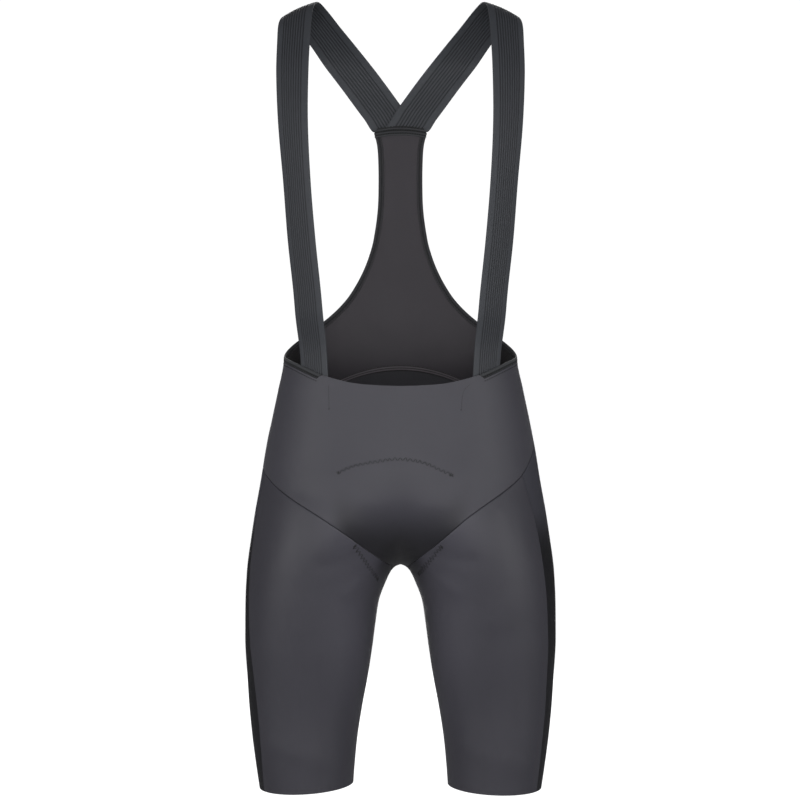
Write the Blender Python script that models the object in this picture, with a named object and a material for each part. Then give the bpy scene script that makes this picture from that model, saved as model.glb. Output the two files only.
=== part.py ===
"""Cycling bib shorts, filled out as on a general figure, with nobody in them.

Units are metres, +Z is up and the front of the garment faces -Y.  The origin lies between
the two braces where they rest on the shoulders.  Left and right are the wearer's: the
wearer's left is at +X.

All cloth panels lie on one smooth skin.  A place on it is (around, height): around runs
from 0 at the centre front, or the inseam of a leg, past the side at 0.5 to 1 at the centre
back, or the inseam again.  Each panel is a grid laid on that skin between its seams and
extruded into a wall along the skin's own normals, so that the cut edges of two neighbours
stay parallel across their seam.
"""

import math
from bisect import bisect_right

import bmesh
import bpy
from mathutils import Vector

# ---------------------------------------------------------------- driving dimensions
WALL = 0.0015            # power knit of the panels
BAND_WALL = 0.0024       # folded tape over the bound edge
BAND_WIDTH = 0.0062
BRACE_WALL = 0.0018      # ribbed elastic, over the ribs
GROOVE_WALL = 0.0011     # ribbed elastic, in the grooves
SEAM_GAP = 0.0003        # left free between two pieces at a seam

CROTCH = -0.674          # height of the crotch
HEM = -0.9405            # height of the cut hems at the outer side of each leg
HEM_RISE = {"left": 0.0036, "right": 0.0060}     # how much higher they are at the inseam
YOKE = -0.1455           # height of the yoke's corners
YOKE_RISE = 0.0040       # how far the yoke seam arches up at the centre

GROOVES = 9              # grooves along each brace
BRACE_MARGIN = 0.16      # plain selvedge each side, as a share of the brace's width
TAIL_INSET = 0.0027      # brace tail, from the middle of the front panel's wall inwards
CROSSING_LIFT = 0.0023   # the left brace lies over the right one at the yoke

# The general figure, from the shoulder blades to the hems: half-width at the outer side,
# inner side of each leg's ring (its mirror image above the hips), front and back depths,
# and the half-width over which the two halves flow into each other.
FIGURE_COLUMNS = ("height", "outer", "inner", "front", "back", "blend")
FIGURE = (
    (-0.060, 0.1400, -0.1400, -0.0900, 0.0740, 0.0300),
    (-0.100, 0.1480, -0.1480, -0.1020, 0.0850, 0.0300),
    (-0.140, 0.1540, -0.1540, -0.1100, 0.0915, 0.0300),
    (-0.200, 0.1580, -0.1580, -0.1160, 0.0960, 0.0300),
    (-0.260, 0.1560, -0.1560, -0.1160, 0.0950, 0.0300),
    (-0.320, 0.1480, -0.1480, -0.1110, 0.0900, 0.0300),
    (-0.370, 0.1415, -0.1415, -0.1045, 0.0860, 0.0300),
    (-0.4254, 0.1385, -0.1385, -0.1000, 0.0880, 0.0300),
    (-0.465, 0.1464, -0.1464, -0.1005, 0.0950, 0.0300),
    (-0.501, 0.1542, -0.1542, -0.1035, 0.1060, 0.0300),
    (-0.537, 0.1614, -0.1494, -0.1065, 0.1180, 0.0290),
    (-0.573, 0.1674, -0.1134, -0.1075, 0.1270, 0.0275),
    (-0.609, 0.1740, -0.0520, -0.1060, 0.1300, 0.0245),
    (-0.645, 0.1794, -0.0064, -0.1030, 0.1250, 0.0190),
    (-0.674, 0.1832, 0.0140, -0.0990, 0.1150, 0.0140),
    (-0.699, 0.1848, 0.0233, -0.0955, 0.1070, 0.0120),
    (-0.717, 0.1854, 0.0290, -0.0930, 0.1020, 0.0120),
    (-0.745, 0.1856, 0.0330, -0.0890, 0.0955, 0.0120),
    (-0.771, 0.1854, 0.0362, -0.0855, 0.0905, 0.0120),
    (-0.807, 0.1830, 0.0415, -0.0800, 0.0845, 0.0120),
    (-0.843, 0.1806, 0.0480, -0.0755, 0.0800, 0.0120),
    (-0.879, 0.1770, 0.0535, -0.0725, 0.0765, 0.0120),
    (-0.915, 0.1722, 0.0570, -0.0700, 0.0730, 0.0120),
    (-0.945, 0.1676, 0.0590, -0.0680, 0.0700, 0.0120),
)

# Seam round the top of each leg: the V over the front of the thigh, past the side, and
# down under the seat back to the inseam.
LEG_TOP_COLUMNS = ("around", "left", "right")
LEG_TOP = (
    (0.00, -0.6820, -0.6820),
    (0.02, -0.6795, -0.6797),
    (0.04, -0.6748, -0.6755),
    (0.06, -0.6690, -0.6705),
    (0.09, -0.6600, -0.6630),
    (0.13, -0.6460, -0.6505),
    (0.17, -0.6300, -0.6365),
    (0.21, -0.6135, -0.6230),
    (0.26, -0.5970, -0.6075),
    (0.31, -0.5830, -0.5945),
    (0.37, -0.5655, -0.5800),
    (0.43, -0.5430, -0.5665),
    (0.50, -0.5250, -0.5580),
    (0.58, -0.5450, -0.5700),
    (0.66, -0.5970, -0.6080),
    (0.75, -0.6435, -0.6460),
    (0.84, -0.6670, -0.6680),
    (0.92, -0.6770, -0.6775),
    (1.00, -0.6820, -0.6820),
)

# Line at the outer side of each leg where the darker rear cloth begins.
SIDE_LINE_COLUMNS = ("height", "left", "right")
SIDE_LINE = (
    (-0.530, 0.357, 0.435),
    (-0.570, 0.374, 0.442),
    (-0.630, 0.395, 0.446),
    (-0.680, 0.402, 0.441),
    (-0.735, 0.407, 0.433),
    (-0.800, 0.411, 0.414),
    (-0.845, 0.411, 0.401),
    (-0.887, 0.409, 0.400),
    (-0.945, 0.414, 0.417),
)

# Arc seam at the small of the back: its height at the centre and how it falls away.
ARC_TOP = -0.4370
ARC_FALL = 3.0

# The free top edge: first the waist from the centre front to the side, ...
WAIST_EDGE_COLUMNS = ("around", "height")
WAIST_EDGE = (
    (0.000, -0.4610),
    (0.090, -0.4601),
    (0.180, -0.4573),
    (0.270, -0.4490),
    (0.330, -0.4405),
    (0.390, -0.4325),
    (0.450, -0.4273),
    (0.500, -0.4238),
)
# ... then the keyhole outline of the bib from the side of the waist up to the yoke.
BIB_EDGE_COLUMNS = ("height", "half_width")
BIB_EDGE = (
    (-0.4070, 0.1264),
    (-0.3905, 0.1065),
    (-0.3720, 0.0845),
    (-0.3530, 0.0668),
    (-0.3342, 0.0547),
    (-0.3155, 0.0454),
    (-0.2969, 0.0385),
    (-0.2783, 0.0336),
    (-0.2410, 0.0284),
    (-0.2036, 0.0273),
    (-0.1720, 0.0280),
    (-0.1580, 0.0296),
    (YOKE, 0.0330),
)
BAND_START = 0.280       # around the waist, where the bound edge ends at the brace

# The left brace: its two edges from the tail inside the front panel, up the chest, over
# the shoulder and down the back to the yoke.
BRACE_COLUMNS = ("inner_x", "inner_y", "inner_z", "outer_x", "outer_y", "outer_z")
BRACE = (
    (0.0815, -0.0830, -0.4880, 0.1165, -0.0600, -0.4790),
    (0.0850, -0.0820, -0.4560, 0.1180, -0.0560, -0.4440),
    (0.0880, -0.0840, -0.4080, 0.1215, -0.0580, -0.4000),
    (0.0920, -0.0890, -0.3560, 0.1250, -0.0620, -0.3520),
    (0.0985, -0.0950, -0.2920, 0.1315, -0.0660, -0.2900),
    (0.1040, -0.0985, -0.2240, 0.1365, -0.0690, -0.2240),
    (0.1072, -0.0960, -0.1540, 0.1425, -0.0680, -0.1560),
    (0.1070, -0.0810, -0.0900, 0.1455, -0.0575, -0.0970),
    (0.1055, -0.0590, -0.0450, 0.1455, -0.0420, -0.0580),
    (0.1035, -0.0330, -0.0130, 0.1445, -0.0240, -0.0290),
    (0.0985, -0.0020, -0.0002, 0.1390, 0.0040, -0.0175),
    (0.0885, 0.0240, -0.0060, 0.1280, 0.0300, -0.0235),
    (0.0730, 0.0430, -0.0230, 0.1110, 0.0520, -0.0420),
    (0.0535, 0.0620, -0.0440, 0.0920, 0.0690, -0.0680),
    (0.0305, 0.0760, -0.0710, 0.0695, 0.0800, -0.0970),
    (0.0060, 0.0850, -0.1030, 0.0500, 0.0870, -0.1225),
    (-0.0249, 0.0910, -0.1450, 0.0322, 0.0910, -0.1450),
)
TAIL_TOP = -0.426        # the tail lies on the panel below this height ...
TAIL_FREE = -0.370       # ... and hangs free above this one
BACK_FREE = -0.060       # the brace leaves the figure's back above this height ...
BACK_LAID = -0.105       # ... and lies on it below this one
BACK_LIFTED = -0.095     # by this height the left brace lies over the right one

COLLECTION = "cycling_bib_shorts"

SIDES = {"left": 1, "right": -1}     # the sign of X on each side
ABOVE, BELOW = 1, -1                 # which side of a seam a panel lies on


# ---------------------------------------------------------------- smooth tables
def read_smooth(knots, values, at):
    """One value of a smooth curve through a table's column (cubic Hermite)."""
    at = min(max(at, knots[0]), knots[-1])
    low = min(bisect_right(knots, at) - 1, len(knots) - 2)

    def slope(row):
        before, after = max(row - 1, 0), min(row + 1, len(knots) - 1)
        return (values[after] - values[before]) / (knots[after] - knots[before])

    span = knots[low + 1] - knots[low]
    t = (at - knots[low]) / span
    ease = t * t * (3 - 2 * t)
    leave = t * (1 - t) ** 2 * span * slope(low)
    arrive = t * t * (1 - t) * span * slope(low + 1)
    return values[low] * (1 - ease) + values[low + 1] * ease + leave - arrive


def column_reader(columns, rows):
    """A function read(name, at) over a table whose first column is its knots."""
    ordered = sorted(rows)
    by_name = {name: [row[place] for row in ordered] for place, name in enumerate(columns)}
    knots = by_name[columns[0]]
    return lambda name, at: read_smooth(knots, by_name[name], at)


figure = column_reader(FIGURE_COLUMNS, FIGURE)
leg_top = column_reader(LEG_TOP_COLUMNS, LEG_TOP)
side_line = column_reader(SIDE_LINE_COLUMNS, SIDE_LINE)


def smoothstep(start, end, at):
    t = min(max((at - start) / (end - start), 0.0), 1.0)
    return t * t * (3 - 2 * t)


# ---------------------------------------------------------------- the skin of the garment
def ring(height):
    """Centre, half-width, centre depth and half-depth of one leg's ring, the blend between
    the two halves of the garment, and where on the ring they meet."""
    blend = figure("blend", height)
    outer = math.hypot(figure("outer", height), blend)
    inner = figure("inner", height)
    front = figure("front", height)
    back = figure("back", height)
    centre, half_width = (outer + inner) / 2, (outer - inner) / 2
    middle, half_depth = (front + back) / 2, (back - front) / 2
    meet = math.acos(min((centre - blend) / half_width, 1.0))
    return centre, half_width, middle, half_depth, blend, meet


def skin(around, height):
    """A point of the left half's skin."""
    centre, half_width, middle, half_depth, blend, meet = ring(height)
    to_side = 2 * min(around, 1 - around)
    turn = math.sqrt(max(meet ** 2 + (math.pi ** 2 - meet ** 2) * to_side * abs(to_side), 0.0))
    turn = turn if around <= 0.5 else 2 * math.pi - turn
    reach = centre - half_width * math.cos(turn)
    x = math.sqrt(max(reach * reach - blend * blend, 0.0))
    return Vector((x, middle - half_depth * math.sin(turn), height))


def around_at(x, height, back):
    """The place around the skin where it has this half-width, on its front or back."""
    centre, half_width, _, _, blend, meet = ring(height)
    reach = math.hypot(x, blend)
    turn = math.acos(min(max((centre - reach) / half_width, -1.0), 1.0))
    to_side = math.sqrt(max(turn ** 2 - meet ** 2, 0.0) / (math.pi ** 2 - meet ** 2))
    return 1 - to_side / 2 if back else to_side / 2


def skin_steps(around, height):
    """How the skin moves with around and with height."""
    step = 1e-4
    sideways = (skin(around + step, height) - skin(around - step, height)) / (2 * step)
    upwards = (skin(around, height + step) - skin(around, height - step)) / (2 * step)
    return sideways, upwards


def skin_normal(around, height):
    sideways, upwards = skin_steps(around, height)
    return sideways.cross(upwards).normalized()


def seam_edge(seam, around, way):
    """Height where a panel ends above (1) or below (-1) a seam, half the seam's gap from
    its line.  seam(around) is the height of that line."""
    step = 0.002
    before, after = max(around - step, 0.0), min(around + step, 1.0)
    along = skin(after, seam(after)) - skin(before, seam(before))
    _, upwards = skin_steps(around, seam(around))
    return seam(around) + way * SEAM_GAP / 2 / upwards.cross(along.normalized()).length


# ---------------------------------------------------------------- the free top edge
def top_edge_curve():
    """The whole free edge as (around, height) rows with the distance along it."""
    rows = list(WAIST_EDGE)
    for height, half_width in BIB_EDGE:
        rows.append((around_at(half_width, height, back=True), height))
    distances = [0.0]
    for before, after in zip(rows, rows[1:]):
        distances.append(distances[-1] + (skin(*after) - skin(*before)).length)
    return distances, rows


EDGE_DISTANCES, EDGE_ROWS = top_edge_curve()
EDGE_AROUND = [row[0] for row in EDGE_ROWS]
EDGE_HEIGHT = [row[1] for row in EDGE_ROWS]
EDGE_END = EDGE_DISTANCES[-1]
EDGE_SIDE = EDGE_DISTANCES[len(WAIST_EDGE) - 1]


def edge_at(distance):
    return (
        read_smooth(EDGE_DISTANCES, EDGE_AROUND, distance),
        read_smooth(EDGE_DISTANCES, EDGE_HEIGHT, distance),
    )


def edge_inset(distance, inset):
    """The place on the skin this far inside the free edge."""
    around, height = edge_at(distance)
    if inset == 0:
        return around, height
    step = 5e-4
    before = edge_at(max(distance - step, 0.0))
    after = edge_at(min(distance + step, EDGE_END))
    along = (skin(*after) - skin(*before)).normalized()
    sideways, upwards = skin_steps(around, height)
    inward = along.cross(sideways.cross(upwards).normalized()) * inset
    a, b, c = sideways.dot(sideways), sideways.dot(upwards), upwards.dot(upwards)
    p, q = inward.dot(sideways), inward.dot(upwards)
    spread = a * c - b * b
    return around + (c * p - b * q) / spread, height + (a * q - b * p) / spread


def distance_where(reached, low, high):
    """Where along the edge a condition first holds, by halving the stretch."""
    for _ in range(40):
        middle = (low + high) / 2
        if reached(middle):
            high = middle
        else:
            low = middle
    return (low + high) / 2


BAND_FROM = distance_where(lambda d: edge_at(d)[0] > BAND_START, 0.0, EDGE_SIDE)
BAND_SLANT = 0.004       # the tape's end is cut on the slant


def cut_inset(distance):
    """How far the panels stay back from the free edge to leave room for the tape."""
    start = BAND_FROM - 2 * SEAM_GAP
    share = min(max((distance - start) / BAND_SLANT, 0.0), 1.0)
    return share * (BAND_WIDTH + SEAM_GAP)


def panel_edge(distance):
    return edge_inset(distance, cut_inset(distance))


def front_top(around):
    """Height of the front panel's own top edge."""
    distance = distance_where(lambda d: panel_edge(d)[0] > around, 0.0, EDGE_SIDE + 0.02)
    return panel_edge(distance)[1]


def yoke_height(x):
    corner = BIB_EDGE[-1][1]
    return YOKE + YOKE_RISE * (1 - min(abs(x) / corner, 1.0) ** 2)


def arc_height(around):
    """The arc seam, which falls away from the centre back as a parabola."""
    height = ARC_TOP
    for _ in range(4):
        height = ARC_TOP - ARC_FALL * skin(around, height).x ** 2
    return height


def arc_seam(around, way):
    return seam_edge(arc_height, around, way)


# ---------------------------------------------------------------- grids into cloth
def spread(stops, cells):
    """Evenly spaced places between the stops, with so many cells in each stretch."""
    places = [stops[0]]
    for start, end, count in zip(stops, stops[1:], cells):
        places += [start + (end - start) * (n + 1) / count for n in range(count)]
    return places


def laid_grid(mesh, columns, rows, place, side):
    """Lays one flat grid on the garment: place(column, row) gives the middle of the wall
    there and the step from it to the wall's outside."""
    outside = mesh.verts.layers.float_vector.get("outside")
    if outside is None:
        outside = mesh.verts.layers.float_vector.new("outside")
    made = bmesh.ops.create_grid(mesh, x_segments=columns, y_segments=rows, size=1.0)
    for vert in made["verts"]:
        column = round((vert.co.x + 1) / 2 * columns)
        row = round((1 - vert.co.y) / 2 * rows)
        point, step = place(column, row)
        vert.co = (point.x * side, point.y, point.z)
        vert[outside] = (step.x * side, step.y, step.z)


def on_skin(around, height, wall, on_middle=False):
    """A panel's place: its middle point and half its wall along the skin's normal."""
    point, step = skin(around, height), skin_normal(around, height) * (wall / 2)
    if on_middle:
        point.x = step.x = 0.0
    return point, step


def cloth_object(name, mesh, colour):
    """Joins the laid grids and extrudes them into one closed wall of cloth."""
    bmesh.ops.remove_doubles(mesh, verts=mesh.verts, dist=1e-5)
    outside = mesh.verts.layers.float_vector["outside"]
    made = bmesh.ops.extrude_face_region(mesh, geom=mesh.faces[:])
    outer = {item for item in made["geom"] if isinstance(item, bmesh.types.BMVert)}
    for vert in mesh.verts:
        vert.co += vert[outside] if vert in outer else -vert[outside]
    bmesh.ops.recalc_face_normals(mesh, faces=mesh.faces)
    mesh.verts.layers.float_vector.remove(outside)
    data = bpy.data.meshes.new(name)
    mesh.to_mesh(data)
    mesh.free()
    cloth = bpy.data.objects.new(name, data)
    bpy.data.collections[COLLECTION].objects.link(cloth)
    data.shade_smooth()
    data.set_sharp_from_angle(angle=math.radians(40))
    data.materials.append(knit_material(name, colour))
    return cloth


def knit_material(name, colour):
    material = bpy.data.materials.new(name)
    material.use_nodes = True
    shader = material.node_tree.nodes["Principled BSDF"]
    shader.inputs["Base Color"].default_value = (*colour, 1.0)
    shader.inputs["Roughness"].default_value = 0.62
    shader.inputs["Metallic"].default_value = 0.0
    return material


CHARCOAL = (0.071, 0.073, 0.080)
DARK_SIDE = (0.017, 0.017, 0.020)
BRACE_GREY = (0.052, 0.055, 0.058)
TAPE_GREY = (0.055, 0.056, 0.060)
BIB_GREY = (0.062, 0.058, 0.060)


# ---------------------------------------------------------------- the panels
GAP_AROUND = 0.0005      # a free stretch of about 0.25 mm round a ring
NOTCH = 1e-6             # heights this close to the crotch count as the crotch


ROW_CROWDING = 1.35      # how much closer together rows stand near the crotch
TORSO_ROWS = 12          # rows of cells above the crotch
COLUMN_WIDTH = 0.04      # around, over the front
SIDE_COLUMN_WIDTH = 0.03


def torso_rows(top, bottom):
    """Rows of a panel that ends under the crotch, as shares of its height there."""
    crotch = (top - CROTCH) / (top - bottom)
    shares = [1 - (1 - row / TORSO_ROWS) ** ROW_CROWDING for row in range(TORSO_ROWS + 1)]
    return [crotch * share for share in shares] + [(crotch + 1) / 2, 1.0]


def leg_seam(side_name, around, way):
    return seam_edge(lambda at: leg_top(side_name, at), around, way)


def torso_panel(mesh, side, columns, top_of, side_name, back):
    """Half of the front or seat panel, from its top edge to the leg seam and crotch."""
    middle = 1.0 if back else 0.0
    shares = torso_rows(top_of(middle), leg_seam(side_name, middle, ABOVE))
    ends = [(top_of(around), leg_seam(side_name, around, ABOVE)) for around in columns]

    def place(column, row):
        around = columns[column]
        top, bottom = ends[column]
        height = top + (bottom - top) * shares[row]
        if column == 0 and height <= CROTCH + NOTCH:
            around = middle + (-GAP_AROUND if back else GAP_AROUND)
        return on_skin(around, height, WALL, column == 0 and height >= CROTCH - NOTCH)

    laid_grid(mesh, len(columns) - 1, len(shares) - 1, place, side)


UNDER = 0.06             # round from the inseam, where a leg's inside curves most
BACK_PLACES = spread((1.0, 1 - UNDER, 1 - 2.5 * UNDER, 0.5 + GAP_AROUND), (3, 2, 9))


def side_corner(side_name):
    """Where round the leg's top seam the darker rear cloth begins."""
    around = 0.4
    for _ in range(30):
        around = side_line(side_name, leg_top(side_name, around))
    return around


def front_places(side_name):
    """The front panel's columns: the tape's end and the corner of the rear cloth are among
    them, and the leg panels meet it at the same places."""
    slant_start = panel_edge(BAND_FROM - 2 * SEAM_GAP)[0]
    slant_end = panel_edge(BAND_FROM - 2 * SEAM_GAP + BAND_SLANT)[0]
    corner, side = side_corner(side_name), 0.5 - GAP_AROUND
    to_corner = round((corner - slant_end) / COLUMN_WIDTH)
    to_side = round((side - corner) / SIDE_COLUMN_WIDTH)
    stops = (0.0, UNDER, slant_start, slant_end, corner, side)
    return spread(stops, (3, 6, 1, to_corner, to_side))


def front_panel():
    mesh = bmesh.new()
    for name, side in SIDES.items():
        torso_panel(mesh, side, front_places(name), front_top, name, back=False)
    return cloth_object("front_panel", mesh, CHARCOAL)


def seat_panel():
    mesh = bmesh.new()
    for name, side in SIDES.items():
        torso_panel(mesh, side, BACK_PLACES, lambda at: arc_seam(at, BELOW), name, back=True)
    return cloth_object("seat_panel", mesh, CHARCOAL)


LEG_ROWS = 15


def leg_row_share(row):
    """Rows stand closer together near the crotch, where the leg's inside curves."""
    return (row / LEG_ROWS) ** ROW_CROWDING


def hem_height(side_name, around):
    return HEM + HEM_RISE[side_name] * (1 + math.cos(2 * math.pi * around)) / 2


def leg_panel(name, places, start_at, end_at, colour):
    """One panel of a leg, between two lines down it.  Each column starts at its place on
    the top seam and keeps its share of the panel's width down to the hem."""
    side_name = name.rsplit("_", 1)[1]
    mesh = bmesh.new()
    tops = [leg_seam(side_name, around, BELOW) for around in places]

    def place(column, row):
        top = tops[column]
        share = (places[column] - start_at(top)) / (end_at(top) - start_at(top))
        share = 0.0 if column == 0 else 1.0 if column == len(places) - 1 else share
        bottom = hem_height(side_name, start_at(HEM) + (end_at(HEM) - start_at(HEM)) * share)
        height = top + (bottom - top) * leg_row_share(row)
        around = start_at(height) + (end_at(height) - start_at(height)) * share
        return on_skin(around, height, WALL)

    laid_grid(mesh, len(places) - 1, LEG_ROWS, place, SIDES[side_name])
    return cloth_object(name, mesh, colour)


def leg_front(side_name):
    corner = side_corner(side_name)
    places = [at for at in front_places(side_name) if at < corner + GAP_AROUND]
    return leg_panel(
        f"leg_front_{side_name}",
        places,
        lambda height: GAP_AROUND,
        lambda height: side_line(side_name, height) - GAP_AROUND,
        CHARCOAL,
    )


def leg_rear(side_name):
    corner = side_corner(side_name)
    places = [at for at in front_places(side_name) if at > corner - GAP_AROUND]
    return leg_panel(
        f"leg_rear_{side_name}",
        places + BACK_PLACES[::-1],
        lambda height: side_line(side_name, height) + GAP_AROUND,
        lambda height: 1 - GAP_AROUND,
        DARK_SIDE,
    )


# ---------------------------------------------------------------- bib and bound edge
BIB_STATIONS = spread((EDGE_SIDE, EDGE_END), (20,))
WAIST_STATIONS = spread((BAND_FROM, EDGE_SIDE), (8,))
SIDE_SEAM_ROWS = 3


def back_bib():
    """Rows follow the bound edge down to the side of the waist, then the side seam."""
    mesh = bmesh.new()
    edge_rows = [panel_edge(distance) for distance in reversed(BIB_STATIONS)]
    corner_height = edge_rows[-1][1]
    rows = len(edge_rows) - 1 + SIDE_SEAM_ROWS

    def place(column, row):
        share = (1 - BACK_PLACES[column]) / (1 - BACK_PLACES[-1])
        edge_around, height = edge_rows[min(row, len(edge_rows) - 1)]
        if edge_around < 0.5 + GAP_AROUND:
            edge_around = 0.5 + GAP_AROUND
        around = 1 - (1 - edge_around) * share
        if row == 0:
            height = yoke_height(skin(around, height).x)
        below = row - (len(edge_rows) - 1)
        if below > 0:
            height += (arc_seam(around, ABOVE) - corner_height) * below / SIDE_SEAM_ROWS
        return on_skin(around, height, WALL, column == 0)

    for side in SIDES.values():
        laid_grid(mesh, len(BACK_PLACES) - 1, rows, place, side)
    return cloth_object("back_bib", mesh, BIB_GREY)


def edge_binding(side_name):
    """Tape folded over the free edge, from the brace round the side to the yoke."""
    mesh = bmesh.new()
    stations = WAIST_STATIONS + BIB_STATIONS[1:]
    across = 2

    def place(column, row):
        inset = BAND_WIDTH * row / across
        slant = BAND_SLANT * row / across
        distance = stations[column]
        if column < len(WAIST_STATIONS):
            distance += slant * (1 - column / (len(WAIST_STATIONS) - 1))
        return on_skin(*edge_inset(distance, inset), BAND_WALL)

    laid_grid(mesh, len(stations) - 1, across, place, SIDES[side_name])
    return cloth_object(f"edge_binding_{side_name}", mesh, TAPE_GREY)


# ---------------------------------------------------------------- the braces
def brace_across():
    """Places across a brace, each with the wall it has there."""
    pitch = (1 - 2 * BRACE_MARGIN) / GROOVES
    places = [(0.0, BRACE_WALL), (BRACE_MARGIN, BRACE_WALL)]
    for number in range(GROOVES):
        start = BRACE_MARGIN + number * pitch
        places.append((start + pitch / 2, GROOVE_WALL))
        places.append((start + pitch, BRACE_WALL))
    return places + [(1.0, BRACE_WALL)]


# Cells between each two rows of the brace's table, most where it bends or is sewn down.
BRACE_CELLS = (3, 3, 2, 1, 1, 1, 1, 1, 2, 2, 2, 2, 1, 2, 2, 2)
BRACE_BULGE = 0.0020     # the brace is a little hollow towards the body across its width
CUT_ROWS = 3             # last rows of the brace, which turn to run along the yoke


def brace_curves():
    """The distance along the brace at each row of its table, and its six columns."""
    middles = [(Vector(row[:3]) + Vector(row[3:])) / 2 for row in BRACE]
    knots = [0.0]
    for before, after in zip(middles, middles[1:]):
        knots.append(knots[-1] + (after - before).length)
    return knots, [[row[place] for row in BRACE] for place in range(len(BRACE_COLUMNS))]


def brace_row(knots, curves, distance):
    """The brace's two edges at one place along it, and the way its outside faces."""
    def middle(at):
        values = [read_smooth(knots, curve, at) for curve in curves]
        return (Vector(values[:3]) + Vector(values[3:])) / 2

    values = [read_smooth(knots, curve, distance) for curve in curves]
    inner, outer = Vector(values[:3]), Vector(values[3:])
    step = 0.002
    ahead = middle(distance + step) - middle(distance - step)
    return inner, outer, (outer - inner).cross(ahead).normalized()


def brace_point(row, share, end, lift):
    """The middle of the brace's wall and the way its outside faces there.  Its tail lies
    inside the front panel, and its other end on the figure's back, cut to the yoke."""
    inner, outer, outside = row
    point = inner.lerp(outer, share) + outside * BRACE_BULGE * 4 * share * (1 - share)
    if point.y < 0 and point.z < TAIL_FREE:
        around = around_at(point.x, point.z, back=False)
        facing = skin_normal(around, point.z)
        laid = skin(around, point.z) - facing * TAIL_INSET
        on_panel = smoothstep(TAIL_FREE, TAIL_TOP, point.z)
        point, outside = point.lerp(laid, on_panel), outside.lerp(facing, on_panel)
    if point.y > 0 and point.z < BACK_FREE:
        line = YOKE + (point.z - YOKE) * (1 - end)
        point.z = line + (yoke_height(point.x) + 2 * SEAM_GAP - YOKE) * end
        around = around_at(abs(point.x), point.z, back=True)
        facing = skin_normal(around, point.z)
        facing.x = math.copysign(facing.x, point.x)
        on_back = smoothstep(BACK_FREE, BACK_LAID, point.z)
        point.y += (skin(around, point.z).y - point.y) * on_back
        point.y -= lift * smoothstep(BACK_FREE, BACK_LIFTED, point.z)
        outside = outside.lerp(facing, on_back)
    return point, outside.normalized()


def brace(side_name):
    """A ribbed elastic band lofted between its two edges, its ribs raised on both faces."""
    mesh = bmesh.new()
    knots, curves = brace_curves()
    across = brace_across()
    stations = spread(knots, BRACE_CELLS)
    lift = CROSSING_LIFT if side_name == "left" else 0.0
    last = len(stations) - 1

    def place(column, row):
        share, wall = across[column]
        end = max((row - last + CUT_ROWS) / CUT_ROWS, 0.0) ** 2
        edges = brace_row(knots, curves, stations[row])
        point, outside = brace_point(edges, share, end, lift)
        return point, outside * (wall / 2)

    laid_grid(mesh, len(across) - 1, last, place, SIDES[side_name])
    return cloth_object(f"strap_{side_name}", mesh, BRACE_GREY)


# ---------------------------------------------------------------- the garment
def clear_scene():
    for item in list(bpy.data.objects):
        bpy.data.objects.remove(item, do_unlink=True)
    shorts = bpy.data.collections.new(COLLECTION)
    bpy.context.scene.collection.children.link(shorts)


def build():
    clear_scene()
    front_panel()
    seat_panel()
    back_bib()
    for side_name in SIDES:
        leg_front(side_name)
        leg_rear(side_name)
        edge_binding(side_name)
        brace(side_name)


build()
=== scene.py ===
"""Cycling bib shorts, dressed: knit cloth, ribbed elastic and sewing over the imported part.

Metres, +Z up, the front faces -Y, the wearer's left is at +X.  A place on the cloth is
(around, height): around runs from 0 at the centre front, or the inseam of a leg, past the
side at 0.5 to 1 at the centre back, or the inseam again.
"""

import math

import bmesh
import bpy
import numpy as np
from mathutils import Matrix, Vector


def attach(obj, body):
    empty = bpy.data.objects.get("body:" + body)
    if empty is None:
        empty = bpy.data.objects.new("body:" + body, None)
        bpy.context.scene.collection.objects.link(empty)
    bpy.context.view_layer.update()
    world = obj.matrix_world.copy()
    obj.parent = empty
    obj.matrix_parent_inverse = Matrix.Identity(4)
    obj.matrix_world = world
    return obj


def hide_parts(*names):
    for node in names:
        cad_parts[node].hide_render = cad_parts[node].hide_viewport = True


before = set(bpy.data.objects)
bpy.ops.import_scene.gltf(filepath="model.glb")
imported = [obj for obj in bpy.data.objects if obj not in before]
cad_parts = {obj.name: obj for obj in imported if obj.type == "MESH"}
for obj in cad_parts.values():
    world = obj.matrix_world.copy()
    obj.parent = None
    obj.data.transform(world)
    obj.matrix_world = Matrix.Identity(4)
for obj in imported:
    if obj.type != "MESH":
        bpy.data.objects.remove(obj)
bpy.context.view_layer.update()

# ------------------------------------------------------------------ front panel
# The smooth charcoal panel over the belly, cut in one piece from the waist to the crotch
# in a dense warp knit of nylon and elastane, its top edge left raw between the braces.
# It is stretched over the figure, so it lies smooth apart from a few soft folds.
SIDES = {"left": 1, "right": -1}     # the sign of X on each side
ABOVE, BELOW = 1, -1                 # which side of a seam a panel lies on
CLOTH_WALL = 0.0013
SEAM_GAP = 0.0003
CROTCH = -0.674
HEM = -0.9405
HEM_RISE = {"left": 0.0036, "right": 0.0060}

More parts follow.
